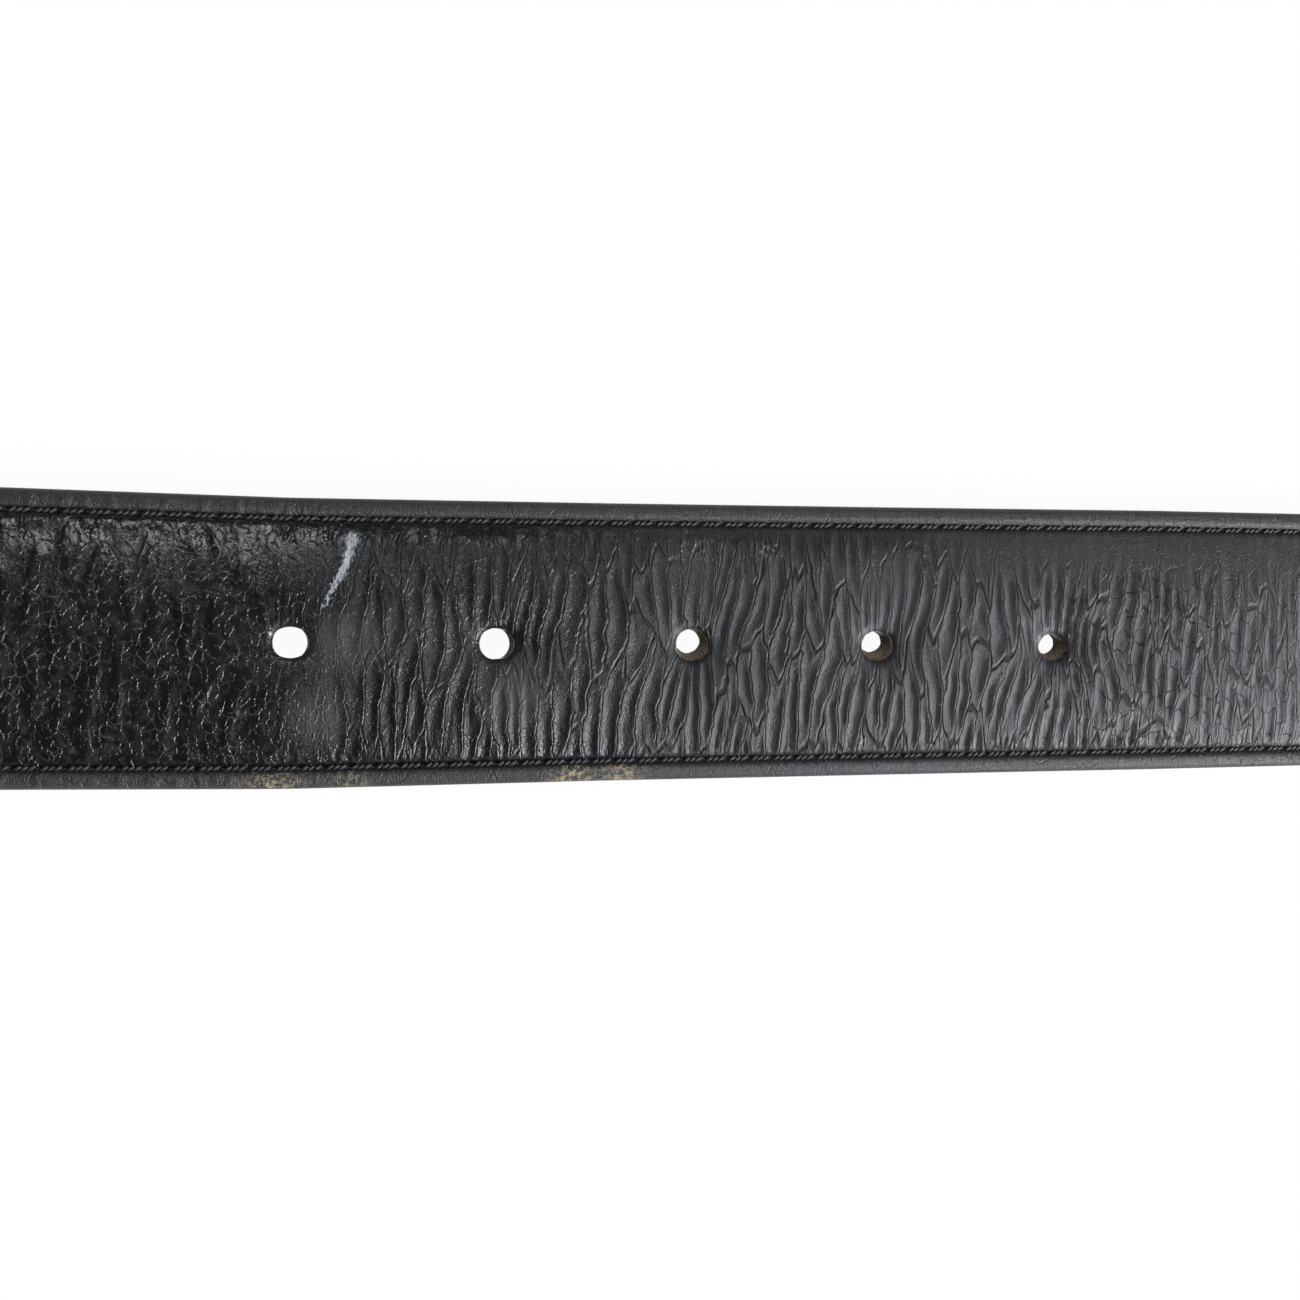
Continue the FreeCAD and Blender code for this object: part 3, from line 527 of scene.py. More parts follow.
# %% [markdown]
# The crease pattern moves the vertices through a Geometry Nodes tree. It reads the same attributes as the
# material, asks the crease pattern for a height and moves each vertex that far along its normal. The
# result is turned into a plain mesh and the modifier goes.

# %% Raise the rolls with Geometry Nodes
ROLL_HEIGHT = 0.54
PUCKER_SHARE = 0.4            # a pucker's height as a share of a roll's
TURNED = 1.8                  # past 1, the polished end's cracks become ridges


def attribute(mesh, name, kind, values):
    made = mesh.attributes.new(name, kind, "POINT")
    key = {"FLOAT": "value", "FLOAT_VECTOR": "vector", "FLOAT_COLOR": "color"}[kind]
    made.data.foreach_set(key, np.ascontiguousarray(values, dtype=np.float32).ravel())


def strap_skin():
    mesh = bpy.data.meshes.new("strap_skin")
    mesh.from_pydata((used_xyz * MM).tolist(), [], quads.tolist())
    x, y = used_xyz[:, 0], used_xyz[:, 1]
    attribute(mesh, "crease_place", "FLOAT_VECTOR", crease_place(x, y))
    attribute(mesh, "wear", "FLOAT_COLOR", wear_masks(x, y, used_inset))
    attribute(mesh, "edge_wear", "FLOAT", edge_wear(x, y))
    attribute(mesh, "inset", "FLOAT", used_inset)
    attribute(mesh, "pucker", "FLOAT", pucker(x, y, used_inset))
    attribute(mesh, "cracked", "FLOAT", cracked(x))
    attribute(mesh, "grey_wear_upper_shade", "FLOAT", grey_wear_upper_shade(x, y))
    attribute(mesh, "crackle", "FLOAT", crackle(x, y, used_inset))
    attribute(mesh, "cross_cracks", "FLOAT", smooth_step(x, HOLE_X[-1] - 4, HOLE_X[-1] + 12))
    return new_object("face_leather_strap", mesh)


def crease_tree():
    taken = {"Geometry": "Geometry", "Height": "Float"}
    tree, g, given, result = new_tree("raise_rolls", "GeometryNodeTree", taken, {"Geometry": "Geometry"})
    place = g.node("GeometryNodeInputNamedAttribute", {"Name": "crease_place"}, data_type="FLOAT_VECTOR")
    wear = g.node("GeometryNodeInputNamedAttribute", {"Name": "wear"}, data_type="FLOAT_VECTOR")
    split = g.node("ShaderNodeSeparateXYZ", {0: wear.outputs[0]})
    height, _, _ = crease_pattern(g, place.outputs[0])
    turned = g.math("MULTIPLY_ADD", split.outputs[0], -TURNED, 1.0)
    lift = g.times(g.times(g.math("SUBTRACT", height, 0.7), split.outputs[1]), turned)
    gathered = g.node("GeometryNodeInputNamedAttribute", {"Name": "pucker"}, data_type="FLOAT")
    puckers = g.times(pucker_pattern(g, place.outputs[0]), gathered.outputs[0])
    lift = g.math("MULTIPLY_ADD", puckers, PUCKER_SHARE, lift)
    lift = g.times(lift, given["Height"])
    normal = g.node("GeometryNodeInputNormal").outputs[0]
    scaled = g.node("ShaderNodeVectorMath", {0: normal, "Scale": lift}, operation="SCALE").outputs[0]
    moved = g.node("GeometryNodeSetPosition", {"Geometry": given["Geometry"], "Offset": scaled})
    g.feed(result["Geometry"], moved.outputs[0])
    return tree


def apply_tree(made, tree, **values):
    """Runs a Geometry Nodes tree on an object once, and leaves a plain mesh."""
    modifier = made.modifiers.new("nodes", "NODES")
    modifier.node_group = tree
    for item in tree.interface.items_tree:
        if item.in_out == "INPUT" and item.name in values:
            modifier[item.identifier] = values[item.name]
    bpy.context.view_layer.update()
    graph = bpy.context.evaluated_depsgraph_get()
    plain = bpy.data.meshes.new_from_object(made.evaluated_get(graph))
    made.modifiers.clear()
    if made.type == "MESH":
        made.data = plain
        return made
    replacement = new_object(made.name, plain)
    bpy.data.objects.remove(made)
    return replacement


strap = apply_tree(strap_skin(), crease_tree(), Height=ROLL_HEIGHT * MM)
print("strap skin:", len(strap.data.polygons), "faces")

# %% [markdown]
# The skin is still open at the holes and underneath. Each hole's edge goes down to the underside, the
# buckle end is closed flat, and `triangle_fill` then closes the flat underside with all its holes at once.

# %% Close the strap underneath
def close_strap(made):
    mesh = bmesh.new()
    mesh.from_mesh(made.data)
    bmesh.ops.remove_doubles(mesh, verts=[v for v in mesh.verts if v.co.x > (TIP_X - 6) * MM], dist=1e-6)
    floor = PLY_BOTTOM * MM
    open_edges = [e for e in mesh.edges if e.is_boundary]
    rims = [e for e in open_edges if all(abs(v.co.y) < 0.004 and v.co.x > (CORE_X + 5) * MM
                                         and v.co.z > floor + 1e-4 for v in e.verts)]
    walls = bmesh.ops.extrude_edge_only(mesh, edges=rims)["geom"]
    for vertex in (v for v in walls if isinstance(v, bmesh.types.BMVert)):
        vertex.co.z = floor
    start = [e for e in mesh.edges
             if e.is_boundary and all(abs(v.co.x - CORE_X * MM) < 1e-6 for v in e.verts)]
    ends = sorted({v for e in start for v in e.verts if sum(f in start for f in v.link_edges) == 1},
                  key=lambda v: v.co.y)
    start.append(mesh.edges.new(ends))
    bmesh.ops.contextual_create(mesh, geom=start)
    bottom = [e for e in mesh.edges if e.is_boundary]
    bmesh.ops.triangle_fill(mesh, edges=bottom, use_beauty=False)
    bmesh.ops.recalc_face_normals(mesh, faces=mesh.faces)
    still_open = sum(e.is_boundary for e in mesh.edges)
    for face in mesh.faces:
        face.smooth = len(face.verts) == 4
    mesh.to_mesh(made.data)
    mesh.free()
    return still_open


print("open edges left:", close_strap(strap))
print("triangles:", sum(len(p.vertices) - 2 for p in strap.data.polygons))

# %% [markdown]
# ## Materials
#
# A material group for the grain first, because the strap, the fold and the keeper all have it: pores and
# fine hair-line cells, as a height in millimetres. Then the worn leather itself.

# %% The grain group
CRACKLE_CELL, FINE_CELL, HAIR_CELL = (1.15, 1.5), (0.36, 0.42), (1.5, 1.9)


def grain_group():
    taken, made = {"Place": "Vector", "Crackle": "Float"}, {"Height": "Float", "Ridges": "Float"}
    tree, g, given, result = new_tree("leather_grain", "ShaderNodeTree", taken, made)
    place, crackle = given["Place"], given["Crackle"]
    bent = g.shaken(place, 1.2, 3.0, (0.9, 0.9, 0.0))
    net = g.cracks(bent, CRACKLE_CELL)
    fine_net = g.cracks(bent, FINE_CELL)
    pores = g.noise(place, 5.0, detail=3.0, roughness=0.65)
    broken = g.ramp(g.noise(place, 0.8, detail=2.0), 0.38, 0.62)
    crackled = g.times(g.invert(g.ramp(net, 0.0, 0.11)), g.times(crackle, broken))
    matt = g.math("MULTIPLY_ADD", crackle, -0.85, 1.0)
    fine = g.math("MULTIPLY_ADD", pores, 0.085, g.times(g.ramp(fine_net, 0.0, 0.25), 0.022))
    height = g.math("MULTIPLY_ADD", crackled, 0.085, g.times(fine, matt))
    ridges = g.invert(g.ramp(g.cracks(bent, HAIR_CELL), 0.0, 0.075))
    patches = g.ramp(g.noise(place, 0.33, detail=3.0), 0.5, 0.66)
    g.feed(result["Height"], height)
    g.feed(result["Ridges"], g.times(ridges, patches))
    return tree


GRAIN = grain_group()
print("grain nodes:", len(GRAIN.nodes))

# %% [markdown]
# The worn leather's colour starts near black. Rolls are rubbed greyer on their tops, with painted shade in
# the cracks and the seam's groove. Dust sits brown-grey in patches, and painted glints lie on fine lines,
# ridge crests and puckers. Roughness follows the same masks, so the light shows the polish. Each mask comes
# from the mesh or from the crease pattern.

# %% The worn face leather
BLACK = (0.0042, 0.0045, 0.0048, 1)
RUBBED = (0.078, 0.081, 0.088, 1)
# painted shade: the dark of the cracks, of the rolled edge's fine cracks and of the seam's groove
CRACK_SHADE = (0.0022, 0.0022, 0.0024, 1)
DUST = (0.050, 0.052, 0.044, 1)
# pale scuff, and painted sheen under the upper edge
PALE_SCUFF_SHEEN = (0.33, 0.36, 0.39, 1)
PAINTED_GLINT = (0.060, 0.064, 0.068, 1)        # painted glints on fine lines, ridge crests and puckers
EDGE_BAND = (0.030, 0.031, 0.033, 1)   # the rolled edge outside the seam
EDGE_TAN = (0.34, 0.27, 0.17, 1)       # the edge rubbed through
RAW = (0.62, 0.50, 0.38, 1)
RAW_DARK = (0.13, 0.10, 0.075, 1)
RAW_PALE = (0.62, 0.54, 0.43, 1)
BAND_CELL = (1.1, 5.0)                 # the fine cracks across the rolled edge


def new_material(name, **settings):
    made = bpy.data.materials.new(name)
    made.use_nodes = True
    made.node_tree.nodes.clear()
    g = Graph(made.node_tree)
    shader = g.node("ShaderNodeBsdfPrincipled", settings)
    output = g.node("ShaderNodeOutputMaterial")
    made.node_tree.links.new(shader.outputs[0], output.inputs[0])
    return made, g, shader


def millimetres(g):
    place = g.node("ShaderNodeTexCoord").outputs["Object"]
    return g.node("ShaderNodeVectorMath", {0: place, "Scale": 1 / MM}, operation="SCALE").outputs[0]


def bump(g, height, distance_mm=1.0, strength=1.0):
    values = {"Height": height, "Distance": distance_mm * MM, "Strength": strength}
    return g.node("ShaderNodeBump", values).outputs[0]


def worn_leather():
    made, g, shader = new_material("worn_black_leather", IOR=1.46)
    place = g.node("ShaderNodeAttribute", attribute_name="crease_place").outputs["Vector"]
    wear_node = g.node("ShaderNodeAttribute", attribute_name="wear")
    masks = g.node("ShaderNodeSeparateColor", {0: wear_node.outputs["Color"]})
    polish, strength, dust = masks.outputs[0], masks.outputs[1], masks.outputs[2]
    scuff_and_sheen = wear_node.outputs["Alpha"]
    rubbed_edge = g.named("edge_wear")
    inset = g.named("inset")
    flat_place = millimetres(g)

    height, rolls, wrinkles = crease_pattern(g, place)
    matt_end = g.invert(polish)
    cross = g.named("cross_cracks")
    gathered = g.named("pucker")
    roll_line = g.invert(g.ramp(rolls, 0.01, 0.065))
    wrinkle_line = g.invert(g.ramp(wrinkles, 0.0, 0.045))
    wrinkle_line = g.times(wrinkle_line, g.math("MULTIPLY_ADD", cross, 0.75, 0.08))
    line = g.times(g.math("MAXIMUM", roll_line, wrinkle_line), strength)
    line = g.times(line, g.named("cracked"))
    puckers = g.times(pucker_pattern(g, place), gathered)
    crackle_share = g.named("crackle")
    grain = g.node("ShaderNodeGroup", {"Place": flat_place, "Crackle": crackle_share}, node_tree=GRAIN)

    cloud = g.noise(flat_place, 0.16, detail=4.0, roughness=0.6)
    speck = g.noise(flat_place, 4.0, detail=3.0, roughness=0.7)
    top = g.times(g.ramp(height, 0.35, 1.0), g.ramp(cloud, 0.3, 0.7))
    rub = g.math("MULTIPLY_ADD", top, 0.45, g.math("MULTIPLY_ADD", speck, 0.40, 0.12))
    rub = g.times(rub, g.named("grey_wear_upper_shade"))
    colour = g.mix(rub, BLACK, RUBBED)
    dusty = g.ramp(g.math("MULTIPLY_ADD", g.math("SUBTRACT", speck, 0.5), 1.2, dust), 0.15, 0.9)
    dusty = g.times(dusty, g.ramp(dust, 0.02, 0.3))
    colour = g.mix(dusty, colour, DUST)
    ridge = g.times(g.invert(g.ramp(rolls, 0.02, 0.26)), polish)
    # painted highlight on the crests of the ridges at the polished end
    ridge_glints = g.times(ridge, g.ramp(g.noise(flat_place, 0.9, detail=3.0), 0.42, 0.65))
    # painted glints along the fine hair lines of the polished end
    hair = g.times(grain.outputs["Ridges"], g.times(polish, 0.8))
    colour = g.mix(g.math("MAXIMUM", hair, g.times(ridge_glints, 0.25)), colour, PAINTED_GLINT)
    here_and_there = g.ramp(g.noise(flat_place, 0.55, detail=4.0, roughness=0.7), 0.48, 0.64)
    # painted glints on the puckers beside the seam
    pucker_glints = g.times(g.ramp(puckers, 0.45, 0.95), here_and_there)
    colour = g.mix(g.times(pucker_glints, 0.5), colour, PAINTED_GLINT)
    # painted shade in the cracks between the rolls and in the wrinkles
    colour = g.mix(g.times(line, 0.95), colour, CRACK_SHADE)
    rubs = g.noise(g.vector("MULTIPLY", flat_place, (3.2, 1.6, 1.0)), 1.0, detail=4.0, roughness=0.75)
    # a pale scuff near the first hole, and painted sheen near the third
    scuff_sheen_share = g.ramp(g.math("MULTIPLY_ADD", g.math("SUBTRACT", rubs, 0.5), 3.0, scuff_and_sheen), 0.42, 0.85)
    colour = g.mix(scuff_sheen_share, colour, PALE_SCUFF_SHEEN)

    band = g.invert(g.ramp(inset, 2.0, 2.3))
    wavy = g.vector("MULTIPLY", g.noise(flat_place, 0.8, colour=True), (0.8, 0, 0))
    net = g.cracks(g.vector("ADD", flat_place, wavy), BAND_CELL)
    band_crack = g.times(g.invert(g.ramp(net, 0.0, 0.05)), band)
    colour = g.mix(g.times(band, 0.55), colour, EDGE_BAND)
    # painted shade in the fine cracks across the rolled edge
    colour = g.mix(g.times(band_crack, 0.6), colour, CRACK_SHADE)
    chips = g.ramp(g.noise(flat_place, 1.6, detail=4.0, roughness=0.7), 0.45, 0.62)
    colour = g.mix(g.times(g.times(rubbed_edge, band), chips), colour, EDGE_TAN)
    seam = g.invert(g.ramp(g.math("ABSOLUTE", g.math("SUBTRACT", inset, SEAM_INSET)), 0.2, 0.7))
    # painted shade in the seam's groove, where the thread pulls the leather down
    colour = g.mix(g.times(seam, 0.85), colour, CRACK_SHADE)

    rough = g.math("MULTIPLY_ADD", crackle_share, -0.22, 0.42)
    rough = g.math("MULTIPLY_ADD", g.math("SUBTRACT", cloud, 0.5), 0.25, rough)
    rough = g.math("MULTIPLY_ADD", dusty, 0.3, rough)
    rough = g.math("MULTIPLY_ADD", line, 0.3, rough)

    fine = g.times(g.times(g.times(height, strength), matt_end), 0.16)
    fine = g.math("SUBTRACT", fine, g.times(line, 0.20))
    fine = g.math("MULTIPLY_ADD", ridge, 0.10, fine)
    fine = g.math("MULTIPLY_ADD", puckers, 0.14, fine)
    fine = g.math("SUBTRACT", fine, g.times(band_crack, 0.05))
    fine = g.math("ADD", fine, grain.outputs["Height"])
    g.fill(shader, {"Base Color": colour, "Roughness": rough, "Normal": bump(g, fine)})
    return made


WORN_LEATHER = worn_leather()
strap.data.materials.clear()
strap.data.materials.append(WORN_LEATHER)
print("worn leather nodes:", len(WORN_LEATHER.node_tree.nodes))

# %% [markdown]
# The fold, the keeper and the lining are the same hide with much less wear, so they get plainer leathers
# that read the object's own coordinates. Inside the holes the leather is raw: brown, fibrous and uneven.

# %% The other leathers, the raw fibre and the thread
def plain_leather(name, dark, light, roughness, crackle):
    made, g, shader = new_material(name, Roughness=roughness, IOR=1.46)
    place = millimetres(g)
    grain = g.node("ShaderNodeGroup", {"Place": place, "Crackle": crackle}, node_tree=GRAIN)
    cloud = g.noise(place, 0.2, detail=4.0, roughness=0.6)
    colour = g.mix(g.ramp(cloud, 0.3, 0.7), dark, light)
    rough = g.math("MULTIPLY_ADD", cloud, 0.2, roughness - 0.1)
    g.fill(shader, {"Base Color": colour, "Roughness": rough, "Normal": bump(g, grain.outputs["Height"])})
    return made


def raw_fibre():
    made, g, shader = new_material("raw_leather_fibre", Roughness=0.9)
    place = millimetres(g)
    fibres = g.noise(g.vector("MULTIPLY", place, (1.0, 1.0, 2.2)), 2.4, detail=5.0, roughness=0.75)
    specks = g.noise(place, 6.0, detail=2.0)
    colour = g.mix(g.ramp(fibres, 0.35, 0.68), RAW_DARK, RAW)
    colour = g.mix(g.ramp(specks, 0.62, 0.72), colour, RAW_PALE)
    g.fill(shader, {"Base Color": colour, "Normal": bump(g, fibres, 0.5)})
    return made


def thread_material():
    made, g, shader = new_material("bonded_black_thread", Roughness=0.55)
    place = millimetres(g)
    lint = g.noise(place, 5.0, detail=3.0)
    colour = g.mix(lint, (0.004, 0.004, 0.005, 1), (0.020, 0.021, 0.023, 1))
    g.fill(shader, {"Base Color": colour, "Normal": bump(g, lint, 0.12)})
    return made


LESS_BLACK = (0.022, 0.022, 0.024, 1)
BROWN, LIGHTER_BROWN = (0.020, 0.015, 0.012, 1), (0.034, 0.026, 0.020, 1)
FOLD_LEATHER = plain_leather("black_fold_leather", BLACK, LESS_BLACK, roughness=0.42, crackle=0.55)
LINING_LEATHER = plain_leather("brown_black_lining", BROWN, LIGHTER_BROWN, roughness=0.6, crackle=0.15)
RAW_FIBRE = raw_fibre()
THREAD = thread_material()
print("materials so far:", [m.name for m in bpy.data.materials if m.users])

# %% [markdown]
# ## The raw walls of the prong holes
#
# A punch leaves a clean bore, but years of a prong push its fibres about. Each wall is a short tube whose
# inner side is uneven, thicker where the fibres have been pushed, on the side away from the buckle. It sits
# inside the bores of the padding, the core and the lining, just under the black edge.

# %% Build the hole walls
PUSHED = (0.01, 0.02, 0.50, 0.62, 0.56)      # how far the prong has pushed each hole's fibres
UNEVEN = (0.008, 0.008, 0.03, 0.03, 0.03)    # how uneven each wall is


def hole_walls():
    rng = np.random.default_rng(7)
    around, down = 72, 22
    vertices, faces = [], []
    angles = [2 * math.pi * step / around for step in range(around)]
    top, bottom = PLY_TOP + 1.35, 0.04
    inner, outer = HOLE_RADIUS - 0.04, HOLE_RADIUS + 0.05
    for index, hole in enumerate(HOLE_X):
        rough = rng.normal(0, 1, (around, down))
        for _ in range(2):
            rough = (rough + np.roll(rough, 1, 0) + np.roll(rough, -1, 0)) / 3
        start = len(vertices)
        for ring in range(down):
            depth = ring / (down - 1)
            z = top + (bottom - top) * depth
            shift = PUSHED[index] * smooth_step(np.float64(depth), 0.05, 0.5)
            flat = inner - 0.3 * shift
            for step, angle in enumerate(angles):
                bump_in = 1 + UNEVEN[index] * (rough[step, ring] - 1)
                across = shift + (inner - shift) * math.sin(angle) * bump_in
                vertices.append((hole + flat * math.cos(angle) * bump_in, across, z))
        for z in (bottom, top):
            for angle in angles:
                vertices.append((hole + outer * math.cos(angle), outer * math.sin(angle), z))
        rings = down + 2
        for ring in range(rings):
            below = (ring + 1) % rings
            for step in range(around):
                beside = (step + 1) % around
                faces.append([start + ring * around + step, start + below * around + step,
                              start + below * around + beside, start + ring * around + beside])
    mesh = bpy.data.meshes.new("punched_hole_walls")
    mesh.from_pydata([Vector(v) * MM for v in vertices], [], faces)
    solid = bmesh.new()
    solid.from_mesh(mesh)
    bmesh.ops.recalc_face_normals(solid, faces=solid.faces)
    for face in solid.faces:
        face.smooth = True
    solid.to_mesh(mesh)
    solid.free()
    mesh.materials.append(RAW_FIBRE)
    return new_object("punched_hole_walls", mesh)


walls = hole_walls()
print("hole walls:", len(walls.data.polygons), "faces")

# %% [markdown]
# ## The fold and the keeper
#
# Both exist in the CAD model with crisp edges. A leather strip has soft ones. A copy of the CAD mesh is
# merged, remeshed into small even cells and smoothed a little, which rounds every edge in the same way and
# keeps the slot and the screw seats. The fold also gives up its upper part where the strap's own skin takes
# over: a Boolean takes away everything past the core's start and above the tab, so the tab underneath stays.

# %% Soften copies of CAD leather
def cutting_box(low_x, low_z):
    """A box that reaches from a place along the belt and a height to well past the tip and the top."""
    low = Vector((low_x, -2 * HALF_WIDTH, low_z)) * MM
    high = Vector((2 * TIP_X, 2 * HALF_WIDTH, 4 * HALF_WIDTH)) * MM
    place = Matrix.Translation((low + high) / 2) @ Matrix.Diagonal((*(high - low), 1))
    mesh = bmesh.new()
    bmesh.ops.create_cube(mesh, size=1.0, matrix=place)
    data = bpy.data.meshes.new("cutting_box")
    mesh.to_mesh(data)
    mesh.free()
    return new_object("cutting_box", data)


def softened(node, name, cell, rounds, box=None):
    """A copy of a CAD node with rounded edges, less what a cutting box takes away."""
    mesh = bmesh.new()
    mesh.from_mesh(frame["nodes"][node].data)
    bmesh.ops.remove_doubles(mesh, verts=mesh.verts, dist=1e-6)
    copy = bpy.data.meshes.new(name)
    mesh.to_mesh(copy)
    mesh.free()
    made = new_object(name, copy)
    if box:
        cut = made.modifiers.new("cut", "BOOLEAN")
        cut.operation, cut.solver, cut.object = "DIFFERENCE", "EXACT", box
    remesh = made.modifiers.new("cells", "REMESH")
    remesh.mode = "VOXEL"
    remesh.voxel_size = cell * MM
    smooth = made.modifiers.new("soft", "SMOOTH")
    smooth.factor = 0.5
    smooth.iterations = rounds
    plain = bpy.data.meshes.new_from_object(made.evaluated_get(bpy.context.evaluated_depsgraph_get()))
    made.modifiers.clear()
    made.data = plain
    plain.polygons.foreach_set("use_smooth", [True] * len(plain.polygons))
    plain.materials.clear()
    plain.materials.append(FOLD_LEATHER)
    if box:
        bpy.data.objects.remove(box)
    return made


fold = softened("face_leather", "face_leather_fold", 0.42, 3, cutting_box(CORE_X + 0.4, PLY_BOTTOM))
keeper = softened("keeper_loop", "keeper_leather", 0.28, 3)
print("fold:", len(fold.data.polygons), "faces, keeper:", len(keeper.data.polygons), "faces")

# %% [markdown]
# ## The seam
#
# A lockstitch shows as a row of short, slightly slanting pieces of twisted thread. Geometry Nodes lay it:
# the seam's path is a curve, points go along it at the thread's own lay, and each point gets one small
# slanting bead, which reads as one turn of the twist. Every fourth bead is left out, where the needle went
# through. The same tree makes the upper and the lower thread.

# %% Lay the stitches with Geometry Nodes
LAY = 0.76                             # length of one turn of the thread's twist
SLANT = math.radians(28)
BEADS = 4                              # turns in a stitch, the gap at its end counted


def stitch_tree():
    taken = {"Geometry": "Geometry", "Lay": "Float", "Thickness": "Float", "Slant": "Float",
             "Beads per stitch": "Int"}
    tree, g, given, result = new_tree("lay_stitches", "GeometryNodeTree", taken, {"Geometry": "Geometry"})
    lay, thickness = given["Lay"], given["Thickness"]
    points = g.node("GeometryNodeCurveToPoints", {"Curve": given["Geometry"], "Length": lay}, mode="LENGTH")
    index = g.node("GeometryNodeInputIndex").outputs[0]
    phase = g.math("FLOORED_MODULO", index, given["Beads per stitch"])
    gap = g.node("FunctionNodeCompare", {0: phase, 1: 0.5}, operation="LESS_THAN", data_type="FLOAT")
    chosen = {"Geometry": points.outputs["Points"], "Selection": gap.outputs[0]}
    kept = g.node("GeometryNodeDeleteGeometry", chosen, domain="POINT")
    bead = g.node("GeometryNodeMeshUVSphere", {"Segments": 7, "Rings": 5, "Radius": 1.0})
    half = g.times(thickness, 0.5)
    size = g.node("ShaderNodeCombineXYZ", {0: g.times(lay, 0.86), 1: half, 2: half})
    shaped = g.node("GeometryNodeTransform", {"Geometry": bead.outputs[0], "Scale": size.outputs[0]})
    slant = g.node("ShaderNodeCombineXYZ", {2: given["Slant"]})
    slanted = g.node("GeometryNodeTransform", {"Geometry": shaped.outputs[0], "Rotation": slant.outputs[0]})
    along = {"Vector": points.outputs["Tangent"]}
    turned = g.node("FunctionNodeAlignRotationToVector", along, axis="X", pivot_axis="Z")
    placed = {"Points": kept.outputs[0], "Instance": slanted.outputs[0], "Rotation": turned.outputs[0]}
    laid = g.node("GeometryNodeInstanceOnPoints", placed)
    fixed = g.node("GeometryNodeRealizeInstances", {0: laid.outputs[0]})
    smooth = g.node("GeometryNodeSetShadeSmooth", {0: fixed.outputs[0]})
    dressed = g.node("GeometryNodeSetMaterial", {"Geometry": smooth.outputs[0], "Material": THREAD})
    g.feed(result["Geometry"], dressed.outputs[0])
    return tree


STITCHES = stitch_tree()


def seam_path(name, start_x, inset, height_of):
    """A curve along both edges and round the tip, at an inset from the outline."""
    chosen = edge_points[:, 0] >= start_x
    upper, lower = [(point - inset * normal)[chosen] for point, normal in (worn_edge(1), worn_edge(-1))]
    ring = np.concatenate([upper, lower[-2::-1]])
    heights = height_of(ring[:, 0])
    curve = bpy.data.curves.new(name, "CURVE")
    curve.dimensions = "3D"
    spline = curve.splines.new("POLY")
    spline.points.add(len(ring) - 1)
    packed = np.column_stack([ring * MM, heights * MM, np.ones(len(ring))])
    spline.points.foreach_set("co", packed.astype(np.float32).ravel())
    return new_object(name, curve)


def seam_height(x):
    return face_height(np.full_like(x, SEAM_INSET), x) + 0.10


def bobbin_height(x):
    return np.full_like(x, 0.16)


def stitches(name, start_x, height_of, thickness):
    path = seam_path(name, start_x, SEAM_INSET, height_of)
    values = {"Lay": LAY * MM, "Thickness": thickness * MM, "Slant": SLANT, "Beads per stitch": BEADS}
    return apply_tree(path, STITCHES, **values)


needle = stitches("needle_stitches", CORE_X + 3, seam_height, 0.56)
bobbin = stitches("bobbin_stitches", bobbin_low[0], bobbin_height, 0.30)
for seam in (needle, bobbin):
    print(seam.name, "faces:", len(seam.data.polygons))

# %% [markdown]
# ## Metal
#
# The buckle, its bar, the prong and the small fixings keep their CAD shapes. Polished metal that has been
# worn shows a faint cloudiness and fine scratches, so its roughness varies instead of its colour.

# %% The metal finishes
def metal(name, colour, roughness, scratches):
    made, g, shader = new_material(name, Metallic=1.0)
    place = millimetres(g)
    cloud = g.noise(place, 0.35, detail=4.0, roughness=0.6)
    hair = g.noise(g.vector("MULTIPLY", place, (0.6, 9.0, 9.0)), 1.0, detail=3.0)
    duller = (*(share * 0.88 for share in colour[:3]), 1)
    colour = g.mix(g.ramp(cloud, 0.3, 0.75), colour, duller)
    worn = g.math("MULTIPLY_ADD", g.ramp(hair, 0.4, 0.7), scratches, roughness)
    rough = g.math("MULTIPLY_ADD", cloud, 0.12, worn)
    g.fill(shader, {"Base Color": colour, "Roughness": rough, "Normal": bump(g, hair, 0.01, 0.6)})
    return made


NICKEL = metal("polished_nickel", (0.66, 0.65, 0.63, 1), 0.12, 0.10)
STEEL = metal("plain_steel", (0.50, 0.50, 0.51, 1), 0.28, 0.14)
print("metals:", NICKEL.name, STEEL.name)

# %% [markdown]
# ## Dressing the CAD pieces
#
# A CAD piece's finish is changed by giving its object another material. The pieces that were rebuilt above
# stand in for their CAD nodes, which stay hidden for the simulation. Every piece rides on a body, so that
# it follows when the buckle turns or the keeper slides.

# %% Dress and attach everything
DRESS = {
    "lining": LINING_LEATHER, "padding": RAW_FIBRE, "stiffener": RAW_FIBRE,
    "buckle_frame": NICKEL, "prong": NICKEL, "buckle_bar": STEEL,
    "binding_posts": STEEL, "binding_screws": STEEL, "keeper_staple": STEEL,
}
for node, material in DRESS.items():
    data = frame["nodes"][node].data
    data.materials.clear()
    data.materials.append(material)

for piece, body, nodes, slot in (
    (strap, "strap", ("face_leather",), "face_leather"),
    (fold, "strap", ("face_leather",), "face_leather"),
    (walls, "strap", (), "stiffener"),
    (needle, "strap", ("needle_thread",), "thread"),
    (bobbin, "strap", ("bobbin_thread",), "thread"),
    (keeper, "keeper", ("keeper_loop",), "keeper_loop"),
):
    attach(piece, body)
    if nodes:
        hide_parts(*nodes)

# %% [markdown]
# ## Floor, light and camera
#
# The floor is plain and pale. Seen directly it is close to white, and it still takes a little of the
# belt's shadow; for every other ray it is an ordinary white card. Three lights stand far enough off to light
# the whole belt evenly. A broad one is high beyond the tip. A raking one is low on the same side, so each
# roll has a lit and a shaded flank. A narrow one above the far edge picks out the polished grain. The camera
# looks down at the strap, turned so that the tip's side is further away.

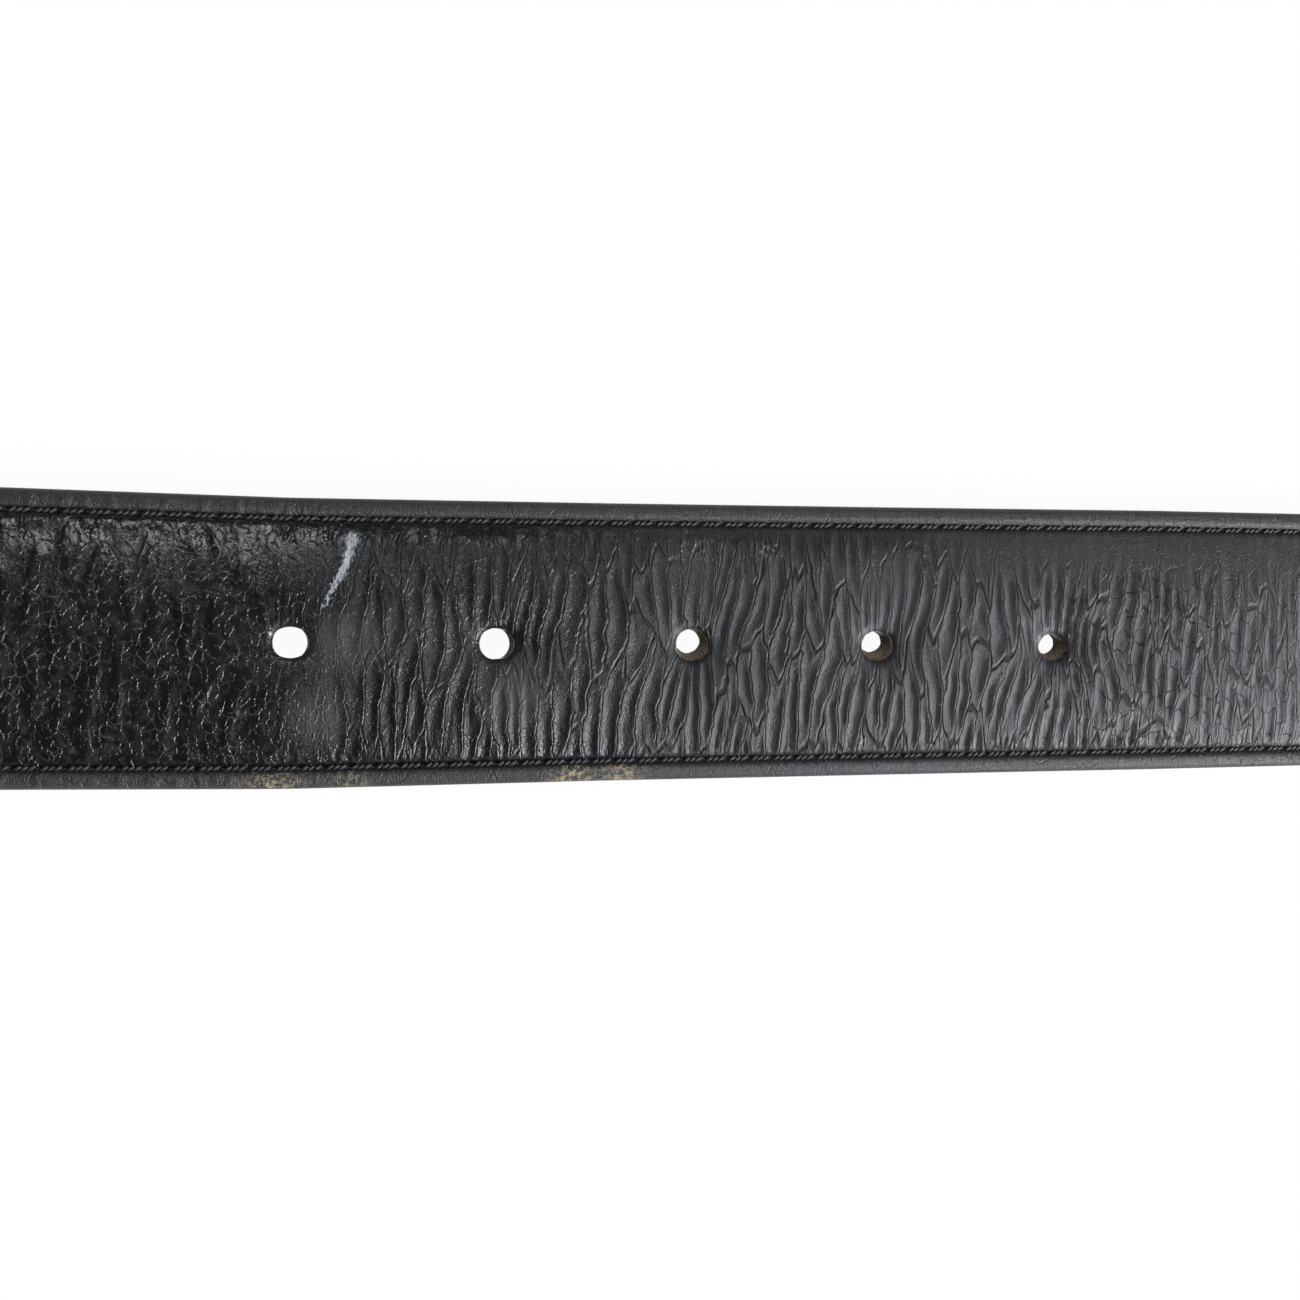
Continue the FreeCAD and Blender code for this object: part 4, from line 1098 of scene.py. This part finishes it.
# %% Stage, lights and camera
def stage_floor():
    mesh = bpy.data.meshes.new("floor")
    size, low = 3.0, -0.0005
    corners = [(-size, -size, low), (size, -size, low), (size, size, low), (-size, size, low)]
    mesh.from_pydata(corners, [], [(0, 1, 2, 3)])
    made = new_object("floor", mesh)
    material = bpy.data.materials.new("pale_floor")
    material.use_nodes = True
    material.node_tree.nodes.clear()
    g = Graph(material.node_tree)
    card = g.node("ShaderNodeBsdfDiffuse", {"Color": (0.85, 0.85, 0.85, 1)})
    bright = g.node("ShaderNodeEmission", {"Color": (1, 1, 1, 1), "Strength": 1.0})
    path = g.node("ShaderNodeLightPath")
    seen = g.math("MAXIMUM", path.outputs["Is Glossy Ray"], path.outputs["Is Transmission Ray"])
    seen = g.times(g.math("MAXIMUM", path.outputs["Is Camera Ray"], seen), 0.95)
    mixed = g.node("ShaderNodeMixShader", {0: seen, 1: card.outputs[0], 2: bright.outputs[0]})
    g.tree.links.new(mixed.outputs[0], g.node("ShaderNodeOutputMaterial").inputs[0])
    mesh.materials.append(material)


def stage_world():
    """A dim studio, brighter towards the horizon, so that metal has something pale to reflect."""
    world = bpy.data.worlds.new("studio")
    world.use_nodes = True
    world.node_tree.nodes.clear()
    g = Graph(world.node_tree)
    direction = g.node("ShaderNodeTexCoord").outputs["Generated"]
    rise = g.node("ShaderNodeSeparateXYZ", {0: direction}).outputs[2]
    strength = g.ramp(rise, 0.05, 0.5, 0.85, 0.09)
    dim = g.node("ShaderNodeBackground", {"Color": (0.96, 0.98, 1.0, 1), "Strength": strength})
    white = g.node("ShaderNodeBackground", {"Color": (1, 1, 1, 1), "Strength": 1.0})
    camera_ray = g.node("ShaderNodeLightPath").outputs["Is Camera Ray"]
    mixed = g.node("ShaderNodeMixShader", {0: camera_ray, 1: dim.outputs[0], 2: white.outputs[0]})
    g.tree.links.new(mixed.outputs[0], g.node("ShaderNodeOutputWorld").inputs[0])
    bpy.context.scene.world = world


def softbox(target, name, direction, distance, size, power):
    data = bpy.data.lights.new(name, "AREA")
    data.shape = "RECTANGLE"
    data.size, data.size_y = size
    data.energy = power
    data.color = (0.95, 0.97, 1.0)
    made = new_object(name, data)
    away = Vector(direction).normalized()
    made.location = target + away * distance
    made.rotation_euler = away.to_track_quat("Z", "Y").to_euler()  # the light shines along its own -Z


TURN = math.radians(13.2)              # how far the strap's plane is turned from the view
REACH = 0.215                          # camera to the strap
ROLL = math.radians(0.3)               # the strap's slight slope across the view
LENS = 46.4
LIGHTS = (                             # name, direction, distance, size and power
    ("broad_light", (0.80, -0.33, 1.0), 2.7, (1.8, 1.8), 29.0),
    ("raking_light", (0.92, -0.48, 0.40), 2.8, (1.0, 1.0), 150.0),
    ("grain_light", (0.02, 0.52, 1.0), 2.8, (1.0, 0.16), 16.0),
)
look_at = Vector(((HOLE_X[2] - 5.7) * MM, -0.0007, PLY_TOP * MM + 0.002))
stage_floor()
stage_world()
for light in LIGHTS:
    softbox(look_at, *light)
camera_data = bpy.data.cameras.new("camera")
camera_data.sensor_width = 36.0
camera_data.lens = LENS
camera_data.clip_start = 0.01
camera = new_object("camera", camera_data)
gaze = Vector((math.sin(TURN), 0, -math.cos(TURN)))
up = Vector((0, 1, 0))
facing = Matrix((gaze.cross(up), up, -gaze)).transposed().to_4x4()
camera.matrix_world = Matrix.Translation(look_at - gaze * REACH) @ facing @ Matrix.Rotation(ROLL, 4, "Z")
bpy.context.scene.camera = camera
bpy.context.scene.view_settings.view_transform = "Standard"
print("camera at", [round(v, 3) for v in camera.location])
